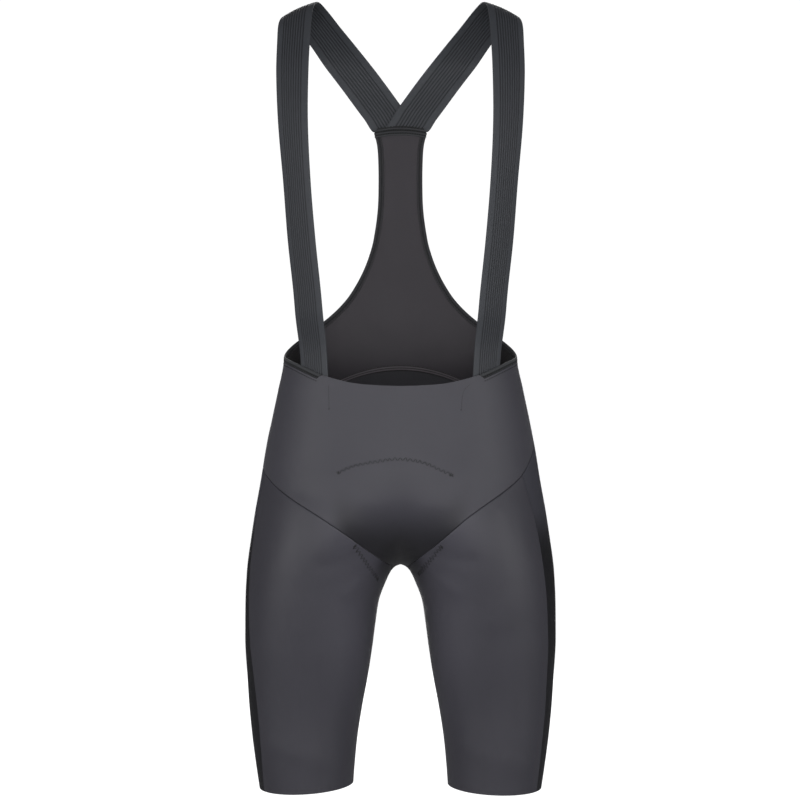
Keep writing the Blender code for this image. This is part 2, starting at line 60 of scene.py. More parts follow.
FIGURE_COLUMNS = ("height", "outer", "inner", "front", "back", "blend")
FIGURE = (
    (-0.060, 0.1400, -0.1400, -0.0900, 0.0740, 0.0300),
    (-0.100, 0.1480, -0.1480, -0.1020, 0.0850, 0.0300),
    (-0.140, 0.1540, -0.1540, -0.1100, 0.0915, 0.0300),
    (-0.200, 0.1580, -0.1580, -0.1160, 0.0960, 0.0300),
    (-0.260, 0.1560, -0.1560, -0.1160, 0.0950, 0.0300),
    (-0.320, 0.1480, -0.1480, -0.1110, 0.0900, 0.0300),
    (-0.370, 0.1415, -0.1415, -0.1045, 0.0860, 0.0300),
    (-0.4254, 0.1385, -0.1385, -0.1000, 0.0880, 0.0300),
    (-0.465, 0.1464, -0.1464, -0.1005, 0.0950, 0.0300),
    (-0.501, 0.1542, -0.1542, -0.1035, 0.1060, 0.0300),
    (-0.537, 0.1614, -0.1494, -0.1065, 0.1180, 0.0290),
    (-0.573, 0.1674, -0.1134, -0.1075, 0.1270, 0.0275),
    (-0.609, 0.1740, -0.0520, -0.1060, 0.1300, 0.0245),
    (-0.645, 0.1794, -0.0064, -0.1030, 0.1250, 0.0190),
    (-0.674, 0.1832, 0.0140, -0.0990, 0.1150, 0.0140),
    (-0.699, 0.1848, 0.0233, -0.0955, 0.1070, 0.0120),
    (-0.717, 0.1854, 0.0290, -0.0930, 0.1020, 0.0120),
    (-0.745, 0.1856, 0.0330, -0.0890, 0.0955, 0.0120),
    (-0.771, 0.1854, 0.0362, -0.0855, 0.0905, 0.0120),
    (-0.807, 0.1830, 0.0415, -0.0800, 0.0845, 0.0120),
    (-0.843, 0.1806, 0.0480, -0.0755, 0.0800, 0.0120),
    (-0.879, 0.1770, 0.0535, -0.0725, 0.0765, 0.0120),
    (-0.915, 0.1722, 0.0570, -0.0700, 0.0730, 0.0120),
    (-0.945, 0.1676, 0.0590, -0.0680, 0.0700, 0.0120),
)
LEG_TOP_COLUMNS = ("around", "left", "right")
LEG_TOP = (
    (0.00, -0.6820, -0.6820),
    (0.02, -0.6795, -0.6797),
    (0.04, -0.6748, -0.6755),
    (0.06, -0.6690, -0.6705),
    (0.09, -0.6600, -0.6630),
    (0.13, -0.6460, -0.6505),
    (0.17, -0.6300, -0.6365),
    (0.21, -0.6135, -0.6230),
    (0.26, -0.5970, -0.6075),
    (0.31, -0.5830, -0.5945),
    (0.37, -0.5655, -0.5800),
    (0.43, -0.5430, -0.5665),
    (0.50, -0.5250, -0.5580),
    (0.58, -0.5450, -0.5700),
    (0.66, -0.5970, -0.6080),
    (0.75, -0.6435, -0.6460),
    (0.84, -0.6670, -0.6680),
    (0.92, -0.6770, -0.6775),
    (1.00, -0.6820, -0.6820),
)
WAIST_EDGE = (           # around, height
    (0.000, -0.4610),
    (0.090, -0.4601),
    (0.180, -0.4573),
    (0.270, -0.4490),
    (0.330, -0.4405),
    (0.390, -0.4325),
    (0.450, -0.4273),
    (0.500, -0.4238),
)
# The keyhole outline of the bib, from the side of the waist up to the yoke.
YOKE = -0.1455
BIB_EDGE = (             # height, half-width
    (-0.4070, 0.1264),
    (-0.3905, 0.1065),
    (-0.3720, 0.0845),
    (-0.3530, 0.0668),
    (-0.3342, 0.0547),
    (-0.3155, 0.0454),
    (-0.2969, 0.0385),
    (-0.2783, 0.0336),
    (-0.2410, 0.0284),
    (-0.2036, 0.0273),
    (-0.1720, 0.0280),
    (-0.1580, 0.0296),
    (YOKE, 0.0330),
)
BAND_START = 0.280       # around the waist, where the bound edge ends at the brace
BAND_SLANT = 0.004
BAND_WIDTH = 0.0062
UNDER_TAPE = 0.0012      # how far the cloth reaches under the tape
GAP_AROUND = 0.0005      # a seam's half gap as a share of around
NEAR, AHEAD = 5e-4, 2e-3         # steps along a line, to find the way it runs


def together(*parts):
    """Numbers and grids side by side, as the last axis of one grid."""
    return np.stack(np.broadcast_arrays(*parts), axis=-1)


def lengths_from(points, axis=0, from_end=False):
    """Distance of each point of a line or grid from one of its edges."""
    steps = np.linalg.norm(np.diff(points, axis=axis), axis=-1)
    if from_end:
        steps = np.flip(steps, axis)
    run = np.cumsum(steps, axis=axis)
    run = np.concatenate([np.zeros_like(np.take(run, [0], axis=axis)), run], axis=axis)
    return np.flip(run, axis) if from_end else run


def read_smooth(knots, values, at):
    """A smooth curve through a table's column (cubic Hermite), read at many places."""
    at = np.clip(at, knots[0], knots[-1])
    low = np.clip(np.searchsorted(knots, at, side="right") - 1, 0, len(knots) - 2)
    slopes = np.empty(len(knots))
    slopes[1:-1] = (values[2:] - values[:-2]) / (knots[2:] - knots[:-2])
    slopes[0] = (values[1] - values[0]) / (knots[1] - knots[0])
    slopes[-1] = (values[-1] - values[-2]) / (knots[-1] - knots[-2])
    span = knots[low + 1] - knots[low]
    t = (at - knots[low]) / span
    ease = t * t * (3 - 2 * t)
    leave = t * (1 - t) ** 2 * span * slopes[low]
    arrive = t * t * (1 - t) * span * slopes[low + 1]
    return values[low] * (1 - ease) + values[low + 1] * ease + leave - arrive


def column_reader(columns, rows):
    """A function read(name, at) over a table whose first column is its knots."""
    ordered = np.array(sorted(rows))
    by_name = {name: ordered[:, place] for place, name in enumerate(columns)}
    return lambda name, at: read_smooth(by_name[columns[0]], by_name[name], at)


figure = column_reader(FIGURE_COLUMNS, FIGURE)
leg_top = column_reader(LEG_TOP_COLUMNS, LEG_TOP)


def unit(vectors):
    return vectors / np.maximum(np.linalg.norm(vectors, axis=-1, keepdims=True), 1e-12)


def ring(height):
    """Centre, half-width, centre depth, half-depth and blend of one leg's ring, and where
    on it the two halves of the garment meet."""
    blend = figure("blend", height)
    outer, inner = np.hypot(figure("outer", height), blend), figure("inner", height)
    front, back = figure("front", height), figure("back", height)
    centre, half_width = (outer + inner) / 2, (outer - inner) / 2
    middle, half_depth = (front + back) / 2, (back - front) / 2
    meet = np.arccos(np.clip((centre - blend) / half_width, -1.0, 1.0))
    return centre, half_width, middle, half_depth, blend, meet


def skin(around, height):
    """Points of the left half's skin."""
    around, height = np.broadcast_arrays(np.asarray(around, float), np.asarray(height, float))
    centre, half_width, middle, half_depth, blend, meet = ring(height)
    to_side = 2 * np.minimum(around, 1 - around)
    turn = np.sqrt(np.maximum(meet**2 + (math.pi**2 - meet**2) * to_side * abs(to_side), 0))
    turn = np.where(around <= 0.5, turn, 2 * math.pi - turn)
    reach = centre - half_width * np.cos(turn)
    x = np.sqrt(np.maximum(reach * reach - blend * blend, 0.0))
    return together(x, middle - half_depth * np.sin(turn), height)


def around_at(x, height, back):
    """The place round the skin where it has this half-width, on its front or back."""
    centre, half_width, _, _, blend, meet = ring(height)
    turn = np.arccos(np.clip((centre - np.hypot(x, blend)) / half_width, -1.0, 1.0))
    to_side = np.sqrt(np.maximum(turn**2 - meet**2, 0.0) / (math.pi**2 - meet**2))
    return np.where(back, 1 - to_side / 2, to_side / 2)


def skin_steps(around, height):
    """How the skin runs round and up at these places, for each unit of around and height."""
    step = 1e-4
    sideways = (skin(around + step, height) - skin(around - step, height)) / (2 * step)
    upwards = (skin(around, height + step) - skin(around, height - step)) / (2 * step)
    return sideways, upwards


def skin_normal(around, height):
    return unit(np.cross(*skin_steps(around, height)))


def seam_edge(seam, around, way):
    """Height where a panel ends above or below a seam, half the gap from its line."""
    around = np.asarray(around, float)
    before, after = np.maximum(around - AHEAD, 0.0), np.minimum(around + AHEAD, 1.0)
    along = unit(skin(after, seam(after)) - skin(before, seam(before)))
    _, upwards = skin_steps(around, seam(around))
    return seam(around) + way * SEAM_GAP / 2 / np.linalg.norm(np.cross(upwards, along), axis=-1)


def leg_seam(side_name, around, way):
    return seam_edge(lambda at: leg_top(side_name, at), around, way)


# The whole free edge, from the centre front round the side of the waist up to the yoke.
edge_rows = list(WAIST_EDGE)
edge_rows += [(float(around_at(half, height, True)), height) for height, half in BIB_EDGE]
EDGE_AROUND, EDGE_HEIGHT = np.array(edge_rows).T
EDGE_KNOTS = lengths_from(skin(EDGE_AROUND, EDGE_HEIGHT))
EDGE_END = EDGE_KNOTS[-1]
EDGE_SIDE = EDGE_KNOTS[len(WAIST_EDGE) - 1]


def edge_at(distance):
    around = read_smooth(EDGE_KNOTS, EDGE_AROUND, distance)
    return around, read_smooth(EDGE_KNOTS, EDGE_HEIGHT, distance)


def edge_inset(distance, inset):
    """The places on the skin this far inside the free edge."""
    distance = np.asarray(distance, float)
    around, height = edge_at(distance)
    before = edge_at(np.maximum(distance - NEAR, 0.0))
    after = edge_at(np.minimum(distance + NEAR, EDGE_END))
    along = unit(skin(*after) - skin(*before))
    sideways, upwards = skin_steps(around, height)
    facing = unit(np.cross(sideways, upwards))
    inward = np.cross(along, facing) * np.asarray(inset)[..., None]
    dot = lambda one, other: np.sum(one * other, axis=-1)
    a, b, c = dot(sideways, sideways), dot(sideways, upwards), dot(upwards, upwards)
    p, q = dot(inward, sideways), dot(inward, upwards)
    whole = a * c - b * b
    return around + (c * p - b * q) / whole, height + (a * q - b * p) / whole


EDGE_TRIALS = np.linspace(0.0, EDGE_SIDE + 0.02, 4000)
BAND_FROM = float(np.interp(BAND_START, edge_at(EDGE_TRIALS)[0], EDGE_TRIALS))


def panel_edge(distance):
    """The cloth's edge under the tape, a little inside the tape's own edge."""
    share = np.clip((distance - BAND_FROM + 2 * SEAM_GAP) / BAND_SLANT, 0.0, 1.0)
    return edge_inset(distance, share * (BAND_WIDTH - UNDER_TAPE))


FRONT_TOP_PLACES, FRONT_TOP_HEIGHTS = panel_edge(EDGE_TRIALS)


def front_top(around):
    return np.interp(around, FRONT_TOP_PLACES, FRONT_TOP_HEIGHTS)


# Soft folds of the stretched cloth: the ends of each as X and height on the front or the
# back, its half-width, and how far it stands out (a ridge) or in (a trough, below 0).
FOLD_COLUMNS = ("back", "start_x", "start_z", "end_x", "end_z", "half_width", "depth")
FOLDS = (
    (0, 0.0000, -0.462, 0.0020, -0.535, 0.024, 0.0016),
    (0, -0.0460, -0.462, -0.0400, -0.530, 0.020, -0.0011),
    (0, 0.0480, -0.460, 0.0430, -0.524, 0.018, -0.0012),
    (0, -0.0900, -0.450, -0.1020, -0.520, 0.022, 0.0009),
    (0, 0.0930, -0.455, 0.1010, -0.528, 0.020, 0.0010),
    (0, -0.0780, -0.566, 0.0800, -0.562, 0.020, 0.0010),
    (0, -0.0320, -0.604, 0.0300, -0.606, 0.030, 0.0025),
    (0, -0.0350, -0.612, -0.1150, -0.585, 0.012, -0.0008),
    (0, 0.0380, -0.617, 0.1080, -0.592, 0.011, -0.0007),
    (0, -0.0300, -0.652, -0.0850, -0.668, 0.010, -0.0009),
    (0, 0.0290, -0.655, 0.0800, -0.663, 0.009, -0.0008),
    (0, -0.0260, -0.672, -0.0610, -0.702, 0.008, 0.0006),
    (0, 0.0270, -0.674, 0.0640, -0.699, 0.008, 0.0007),
    (0, -0.1270, -0.600, -0.1210, -0.740, 0.018, 0.0010),
    (0, 0.1150, -0.600, 0.1120, -0.730, 0.018, 0.0010),
    (0, -0.0850, -0.700, -0.0950, -0.850, 0.024, -0.0008),
    (0, 0.0800, -0.705, 0.0900, -0.840, 0.022, -0.0007),
    (0, -0.0700, -0.905, -0.1550, -0.880, 0.012, 0.0005),
    (0, 0.0760, -0.884, 0.1500, -0.908, 0.013, 0.0005),
    (0, -0.1500, -0.455, -0.1600, -0.500, 0.012, -0.0006),
    (1, -0.0250, -0.470, -0.0850, -0.492, 0.011, -0.0010),
    (1, 0.0300, -0.474, 0.0900, -0.488, 0.010, -0.0009),
    (1, -0.0450, -0.455, 0.0400, -0.452, 0.008, 0.0006),
    (1, -0.0400, -0.672, -0.1320, -0.664, 0.008, -0.0012),
    (1, 0.0420, -0.674, 0.1250, -0.668, 0.008, -0.0011),
    (1, -0.0450, -0.690, -0.1150, -0.688, 0.009, 0.0008),
    (1, 0.0480, -0.692, 0.1200, -0.686, 0.009, 0.0007),
    (1, -0.0600, -0.868, -0.1450, -0.884, 0.011, -0.0009),
    (1, 0.0640, -0.882, 0.1400, -0.872, 0.011, -0.0008),
    (1, -0.0850, -0.902, -0.1550, -0.896, 0.010, 0.0006),
    (1, 0.0900, -0.894, 0.1580, -0.903, 0.010, 0.0006),
    (1, -0.0200, -0.330, 0.0180, -0.348, 0.010, -0.0006),
    (1, 0.0550, -0.372, 0.0120, -0.402, 0.012, 0.0007),
    (1, -0.0600, -0.378, -0.0150, -0.410, 0.012, 0.0007),
    (1, -0.0900, -0.560, -0.0950, -0.640, 0.026, 0.0009),
    (1, 0.0900, -0.565, 0.0950, -0.640, 0.026, 0.0009),
)
AROUND_LENGTH = 0.42     # metres of cloth for one turn of around, for folds and patterns


def fold_end(fold, end):
    """An end of a fold as its distance round the cloth from the middle, and its height."""
    x, height = fold[end + "_x"], fold[end + "_z"]
    around = float(around_at(abs(x), height, bool(fold["back"])))
    from_middle = (1 - around if fold["back"] else around) * AROUND_LENGTH
    return np.array([math.copysign(from_middle, x), height])


def folded(around, height, side):
    """How far the soft folds move the cloth out at these places."""
    depth = np.zeros(np.broadcast(around, height).shape)
    for row in FOLDS:
        fold = dict(zip(FOLD_COLUMNS, row))
        start, end = fold_end(fold, "start"), fold_end(fold, "end")
        from_middle = (1 - around if fold["back"] else around) * AROUND_LENGTH * side
        place = together(from_middle, height)
        along = end - start
        share = np.clip((place - start) @ along / (along @ along), 0.0, 1.0)
        off = np.linalg.norm(place - start - share[..., None] * along, axis=-1)
        depth += fold["depth"] * np.exp(-((off / fold["half_width"]) ** 2))
    return depth


# How panels are drawn in along a seam, and how their grids crowd together there.
SEAM_OFFSETS = np.array([0.0, 0.0005, 0.0011, 0.0019, 0.0030])
SEAM_DIP = 0.0005
SEAM_ROLL = 0.0005
# Shade painted along each seam, as a share of full strength.
SEAM_SHADE = 0.65
CELL = 0.0024


def stops(length, sewn_start, sewn_end, cells=None):
    """Shares from 0 to 1 along a length of cloth, crowded at its seamed ends."""
    length = np.asarray(length, float)[..., None]
    first = SEAM_OFFSETS if sewn_start else np.array([0.0])
    last = SEAM_OFFSETS[::-1] if sewn_end else np.array([0.0])
    cells = cells or max(int(np.max(length) / CELL), 4)
    inner = np.linspace(0.0, 1.0, cells + 1)[1:-1]
    low, high = first[-1] / length, 1 - last[0] / length
    return np.concatenate([first / length, low + (high - low) * inner, 1 - last / length], -1)


def dressed(around, height, side, wall=CLOTH_WALL, seams=(), out=0.0, on_middle=None):
    """Lays a grid of places on the skin: the middle of the wall, the step to its outside,
    and for the pattern how far round and up it lies and the shade painted near a seam.
    seams are the grid's edges drawn in by sewing, as (axis, at its end)."""
    points, normals = skin(around, height), skin_normal(around, height)
    sewn = np.zeros(points.shape[:-1])
    for axis, at_end in seams:
        near = np.exp(-((lengths_from(points, axis, at_end) / SEAM_ROLL) ** 2))
        sewn = np.maximum(sewn, near)
    move = folded(around, height, side) + out - SEAM_DIP * sewn
    if on_middle is not None:
        normals[on_middle, 0] = 0.0
        points[on_middle, 0] = 0.0
    points = points + normals * move[..., None]
    mirror = np.array([side, 1, 1])
    laid = together(around * AROUND_LENGTH * side, height, SEAM_SHADE * sewn)
    return points * mirror, normals * mirror * wall / 2, laid


def cloth_piece(name, grids, outer_look, inner_look=None):
    """Makes grids of laid points into one closed wall of cloth with its own UV map."""
    mesh = bmesh.new()
    outside = mesh.verts.layers.float_vector.new("outside")
    laid_at = mesh.verts.layers.float_vector.new("laid_at")
    # A value for each point of painted shade, or of painted light where below 0, which the knit
    # looks read.
    sewn = mesh.verts.layers.float.new("sewn")
    for points, steps, laid in grids:
        rows, columns = points.shape[0] - 1, points.shape[1] - 1
        made = bmesh.ops.create_grid(mesh, x_segments=columns, y_segments=rows, size=1.0)
        for vert in made["verts"]:
            column = round((vert.co.x + 1) / 2 * columns)
            row = round((1 - vert.co.y) / 2 * rows)
            vert.co = points[row, column]
            vert[outside] = steps[row, column]
            vert[laid_at] = laid[row, column]
            vert[sewn] = laid[row, column, 2]
    bmesh.ops.remove_doubles(mesh, verts=mesh.verts, dist=1e-5)
    made = bmesh.ops.extrude_face_region(mesh, geom=mesh.faces[:])
    outer = {item for item in made["geom"] if isinstance(item, bmesh.types.BMVert)}
    for vert in mesh.verts:
        vert.co += vert[outside] if vert in outer else -vert[outside]
    bmesh.ops.recalc_face_normals(mesh, faces=mesh.faces)
    weave = mesh.loops.layers.uv.new("weave")
    for face in mesh.faces:
        face.smooth = True
        inner = not any(vert in outer for vert in face.verts)
        face.material_index = int(inner and inner_look is not None)
        for loop in face.loops:
            loop[weave].uv = loop.vert[laid_at].xy
    return finished(name, mesh, [outer_look] + ([inner_look] if inner_look else []))


def finished(name, mesh, looks, sharp=50):
    """Turns a bmesh into a piece of the garment that rides on its only body."""
    data = bpy.data.meshes.new(name)
    mesh.to_mesh(data)
    mesh.free()
    data.set_sharp_from_angle(angle=math.radians(sharp))
    for look in looks:
        data.materials.append(look)
    piece = bpy.data.objects.new(name, data)
    bpy.context.scene.collection.objects.link(piece)
    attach(piece, "root")
    return piece


def wire(tree, node, inputs):
    """Links inputs of a node, by name or number, to sockets, or sets their values."""
    for name, value in inputs.items():
        if isinstance(value, bpy.types.NodeSocket):
            tree.links.new(value, node.inputs[name])
        else:
            node.inputs[name].default_value = value
    return node


def add_node(tree, kind, inputs, **settings):
    node = tree.nodes.new("ShaderNode" + kind)
    for name, value in settings.items():
        setattr(node, name, value)
    return wire(tree, node, inputs)


def math_node(tree, operation, first, second):
    return add_node(tree, "Math", {0: first, 1: second}, operation=operation).outputs[0]


def new_group(name, takes, gives):
    """A node group with these sockets, and where to read what it takes and give results."""
    tree = bpy.data.node_groups.new(name, "ShaderNodeTree")
    for way, sockets in (("INPUT", takes), ("OUTPUT", gives)):
        for socket, kind in sockets.items():
            tree.interface.new_socket(name=socket, in_out=way, socket_type="NodeSocket" + kind)
    return tree, tree.nodes.new("NodeGroupInput").outputs, tree.nodes.new("NodeGroupOutput")


def new_look(name):
    """A material, its nodes and its shader."""
    look = bpy.data.materials.new(name)
    look.use_nodes = True
    return look, look.node_tree, look.node_tree.nodes["Principled BSDF"]


LOOP_SLANT = 1.4                 # loops up a column for each loop's width across it
FINE_DYE, DYE_MIDDLE = 0.8, 0.9  # share of the fine mottle, and the mean of both together
LOOP_DYE = 0.6
PAINTED_SHADE_DEPTH = 0.7                  # how much darker painted shade makes the cloth at full strength; below 0 it paints light
PATCH_ROUGH = 0.08               # how far roughness differs between patches


def knit_group():
    """Warp-knit face: columns of slanting loops.  Gives a height and a loop shade."""
    tree, given, result = new_group(
        "knit_face",
        {"UV": "Vector", "Column Width": "Float", "Loop Length": "Float"},
        {"Height": "Float", "Shade": "Float"},
    )
    place = add_node(tree, "SeparateXYZ", {0: given["UV"]}).outputs
    across = math_node(tree, "DIVIDE", place["X"], given["Column Width"])
    along = math_node(tree, "DIVIDE", place["Y"], given["Loop Length"])
    slant = math_node(tree, "MULTIPLY", math_node(tree, "PINGPONG", across, 0.5), LOOP_SLANT)
    loop = math_node(tree, "PINGPONG", math_node(tree, "ADD", along, slant), 0.5)
    column = math_node(tree, "MULTIPLY", math_node(tree, "PINGPONG", across, 0.25), 4.0)
    height = math_node(tree, "MULTIPLY", math_node(tree, "MULTIPLY", loop, 2.0), column)
    wire(tree, result, {"Height": height, "Shade": math_node(tree, "POWER", height, 0.5)})
    return tree


def mottle_and_painted_light_group():
    """Uneven dye and pile: a colour made a little lighter and darker in two sizes, and
    painted shade from the fourth input, or painted light where it is below 0."""
    tree, given, result = new_group(
        "yarn_mottle_and_painted_light",
        {"Colour": "Color", "Yarn": "Float", "Amount": "Float", "Painted Light": "Float"},
        {"Colour": "Color", "Patch": "Float"},
    )
    place = add_node(tree, "TexCoord", {}).outputs["Object"]
    broad = add_node(tree, "TexNoise", {"Vector": place, "Scale": 14.0, "Detail": 3.0})
    fine = add_node(tree, "TexNoise", {"Vector": place, "Scale": 900.0, "Detail": 2.0})
    broad, fine = broad.outputs["Fac"], fine.outputs["Fac"]
    grain = math_node(tree, "ADD", broad, math_node(tree, "MULTIPLY", fine, FINE_DYE))
    grain = math_node(tree, "SUBTRACT", grain, DYE_MIDDLE)
    loops = math_node(tree, "SUBTRACT", given["Yarn"], 0.5)
    uneven = math_node(tree, "ADD", grain, math_node(tree, "MULTIPLY", loops, LOOP_DYE))
    swing = math_node(tree, "MULTIPLY", uneven, given["Amount"])
    painted_tone = math_node(tree, "MULTIPLY", given["Painted Light"], -PAINTED_SHADE_DEPTH)
    bright = math_node(tree, "MULTIPLY", math_node(tree, "ADD", swing, 1.0),
                       math_node(tree, "ADD", painted_tone, 1.0))
    scaled = add_node(tree, "VectorMath", {0: given["Colour"], "Scale": bright}, operation="SCALE")
    wire(tree, result, {"Colour": scaled.outputs[0], "Patch": broad})
    return tree


KNIT_FACE, YARN_MOTTLE_AND_PAINTED_LIGHT = knit_group(), mottle_and_painted_light_group()


def knit_look(name, colour, column=0.0007, loop=0.0009, roughness=0.55, sheen=0.12, bump=0.25,
              swing=0.16, gloss=0.35):
    """A knit cloth: loops as bump and shade, uneven dye, painted shade and light from the mesh,
    and a soft sheen of fibre ends.
    """
    look, tree, shader = new_look(name)
    weave = add_node(tree, "UVMap", {}, uv_map="weave").outputs["UV"]
    loops = {"UV": weave, "Column Width": column, "Loop Length": loop}
    knit = add_node(tree, "Group", loops, node_tree=KNIT_FACE).outputs
    # Painted shade and painted light, stored on the mesh.
    sewn = add_node(tree, "Attribute", {}, attribute_name="sewn").outputs["Fac"]
    dye = {"Colour": (*colour, 1.0), "Yarn": knit["Shade"], "Amount": swing, "Painted Light": sewn}
    yarn = add_node(tree, "Group", dye, node_tree=YARN_MOTTLE_AND_PAINTED_LIGHT).outputs
    relief = {"Strength": bump, "Distance": 0.0002, "Height": knit["Height"]}
    rough = math_node(tree, "MULTIPLY", yarn["Patch"], PATCH_ROUGH)
    wire(tree, shader, {
        "Base Color": yarn["Colour"],
        "Roughness": math_node(tree, "ADD", rough, roughness - PATCH_ROUGH / 2),
        "Normal": add_node(tree, "Bump", relief).outputs["Normal"],
        "Specular IOR Level": gloss,
        "Sheen Weight": sheen,
        "Sheen Roughness": 0.45,
    })
    return look


CHARCOAL = knit_look("charcoal_knit", (0.054, 0.0525, 0.0645), roughness=0.46, gloss=0.34)
CHARCOAL_INSIDE = knit_look("charcoal_knit_inside", (0.035, 0.034, 0.040), bump=0.4, sheen=0.1)


def smoothstep(start, end, at):
    t = np.clip((at - start) / (end - start), 0.0, 1.0)
    return t * t * (3 - 2 * t)


BELLY_SHADE_FROM, BELLY_SHADE_FULL = -0.594, -0.655      # heights where the shade painted under the belly begins and is full
BELLY_SHADE_HALF, BELLY_SHADE_ENDS = 0.058, 0.086        # half-widths of the painted shade
CROTCH_OFFSETS = np.array([0.00120, 0.00060, 0.00025, 0.00006, 0.0])
BELLY_SHADE_SPREAD = 5.0                           # the painted shade reaches higher at its sides
BELLY_SHADE = 0.95
TORSO_ROWS, TORSO_COLUMNS = 96, 84           # cells down a panel and across half of it
CLOSE = 1e-6


def torso_grid(side_name, top_of, back):
    """Half of the front or seat panel, from its top edge to the leg seam and crotch.  Rows
    crowd together just above the crotch, where the two panels turn in to meet.  On the
    front panel, shade is painted under the belly, darker towards the crotch."""
    middle = 1.0 if back else 0.0
    share = stops(0.5 * AROUND_LENGTH, False, True, TORSO_COLUMNS)
    around = np.abs(middle - (0.5 - GAP_AROUND) * share)
    top, bottom = top_of(around), leg_seam(side_name, around, ABOVE)
    rows = stops(np.abs(bottom - top), back, True, TORSO_ROWS).T
    at_crotch = (top[0] - CROTCH - CROTCH_OFFSETS[:, None]) / (top[0] - bottom[0])
    rows = np.vstack([rows, np.broadcast_to(at_crotch, (len(at_crotch), rows.shape[1]))])
    height = top + (bottom - top) * np.sort(rows, axis=0)
    around = np.broadcast_to(around, height.shape).copy()
    first = np.arange(height.shape[1]) == 0
    around[first & (height < CROTCH + CLOSE)] = abs(middle - GAP_AROUND)
    on_middle = first & (height > CROTCH - CLOSE)
    seams = [(0, True), (1, True)] + ([(0, False)] if back else [])
    points, steps, laid = dressed(
        around, height, SIDES[side_name], seams=seams, on_middle=on_middle
    )
    # Shade painted under the belly, on the front panel only.
    painted_shade_at = height - BELLY_SHADE_SPREAD * points[..., 0] ** 2
    painted_shade = BELLY_SHADE * smoothstep(BELLY_SHADE_FROM, BELLY_SHADE_FULL, painted_shade_at)
    painted_shade = painted_shade * (1 - smoothstep(BELLY_SHADE_HALF, BELLY_SHADE_ENDS, np.abs(points[..., 0])))
    laid[..., 2] = np.maximum(laid[..., 2], 0.0 if back else painted_shade)
    return points, steps, laid


front_panel = cloth_piece(
    "front_panel_cloth",
    [torso_grid(side_name, front_top, False) for side_name in SIDES],
    CHARCOAL,
    CHARCOAL_INSIDE,
)
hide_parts("front_panel")

# ------------------------------------------------------------------ seat panel
# The back of the shorts, from the arc seam at the small of the back down to the crotch,
# cut in one piece from the same charcoal knit and joined by overlocked seams.
ARC_TOP = -0.4370
ARC_FALL = 3.0


def arc_height(around):
    """The arc seam falls away from the centre back as a parabola."""
    height = np.full(np.shape(around), ARC_TOP)
    for _ in range(4):
        height = ARC_TOP - ARC_FALL * skin(around, height)[..., 0] ** 2
    return height


def seat_top(around):
    return seam_edge(arc_height, around, BELOW)


seat_panel = cloth_piece(
    "seat_panel_cloth",
    [torso_grid(side_name, seat_top, True) for side_name in SIDES],
    CHARCOAL,
    CHARCOAL_INSIDE,
)
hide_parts("seat_panel")

# ------------------------------------------------------------------ leg panels
# Each leg has a charcoal front, and a near-black rear cut in one piece from the side line
# round the back of the thigh to the inseam.  The hems are left as clean raw cuts.
SIDE_LINE_COLUMNS = ("height", "left", "right")
SIDE_LINE = (
    (-0.530, 0.357, 0.435),
    (-0.570, 0.374, 0.442),
    (-0.630, 0.395, 0.446),
    (-0.680, 0.402, 0.441),
    (-0.735, 0.407, 0.433),
    (-0.800, 0.411, 0.414),
    (-0.845, 0.411, 0.401),
    (-0.887, 0.409, 0.400),
    (-0.945, 0.414, 0.417),
)
LEG_ROWS = 118
FORK_FULL, FORK_ENDS = 0.012, 0.034          # painted shade, by its distance from the crotch
FORK_SHADE = 0.75
THIGH_LIGHT_IN, THIGH_LIGHT_OUT = 0.050, 0.115       # painted light inside the thigh, by its distance from the middle
THIGH_LIGHT_HIGH, THIGH_LIGHT_LOW = -0.740, -0.920
THIGH_PAINTED_LIGHT = -0.55
HIP_LIGHT_HIGH, HIP_LIGHT_LOW = -0.600, -0.655           # heights of the highlight painted on the rear cloth over the hip
HIP_PAINTED_LIGHT = -7.5
side_line = column_reader(SIDE_LINE_COLUMNS, SIDE_LINE)
DARK_SIDE = knit_look("near_black_knit", (0.008, 0.008, 0.010), roughness=0.48, sheen=0.02,
                      gloss=0.4)
# The leg fronts take the panels' charcoal knit painted a little darker: a painted shade.
LEG_CHARCOAL_SHADED = knit_look("charcoal_knit_leg_shaded", (0.049, 0.0475, 0.0585), roughness=0.46,
                         gloss=0.34, sheen=0.06)
DARK_INSIDE = knit_look("near_black_knit_inside", (0.010, 0.010, 0.012), bump=0.4, sheen=0.1)


def side_corner(side_name):
    """Where round the leg's top seam the rear cloth begins."""
    around = 0.4
    for _ in range(30):
        around = float(side_line(side_name, leg_top(side_name, around)))
    return around


def hem_height(side_name, around):
    """The hem is a little higher at the inseam than at the outer side."""
    return HEM + HEM_RISE[side_name] * (1 + np.cos(2 * math.pi * around)) / 2


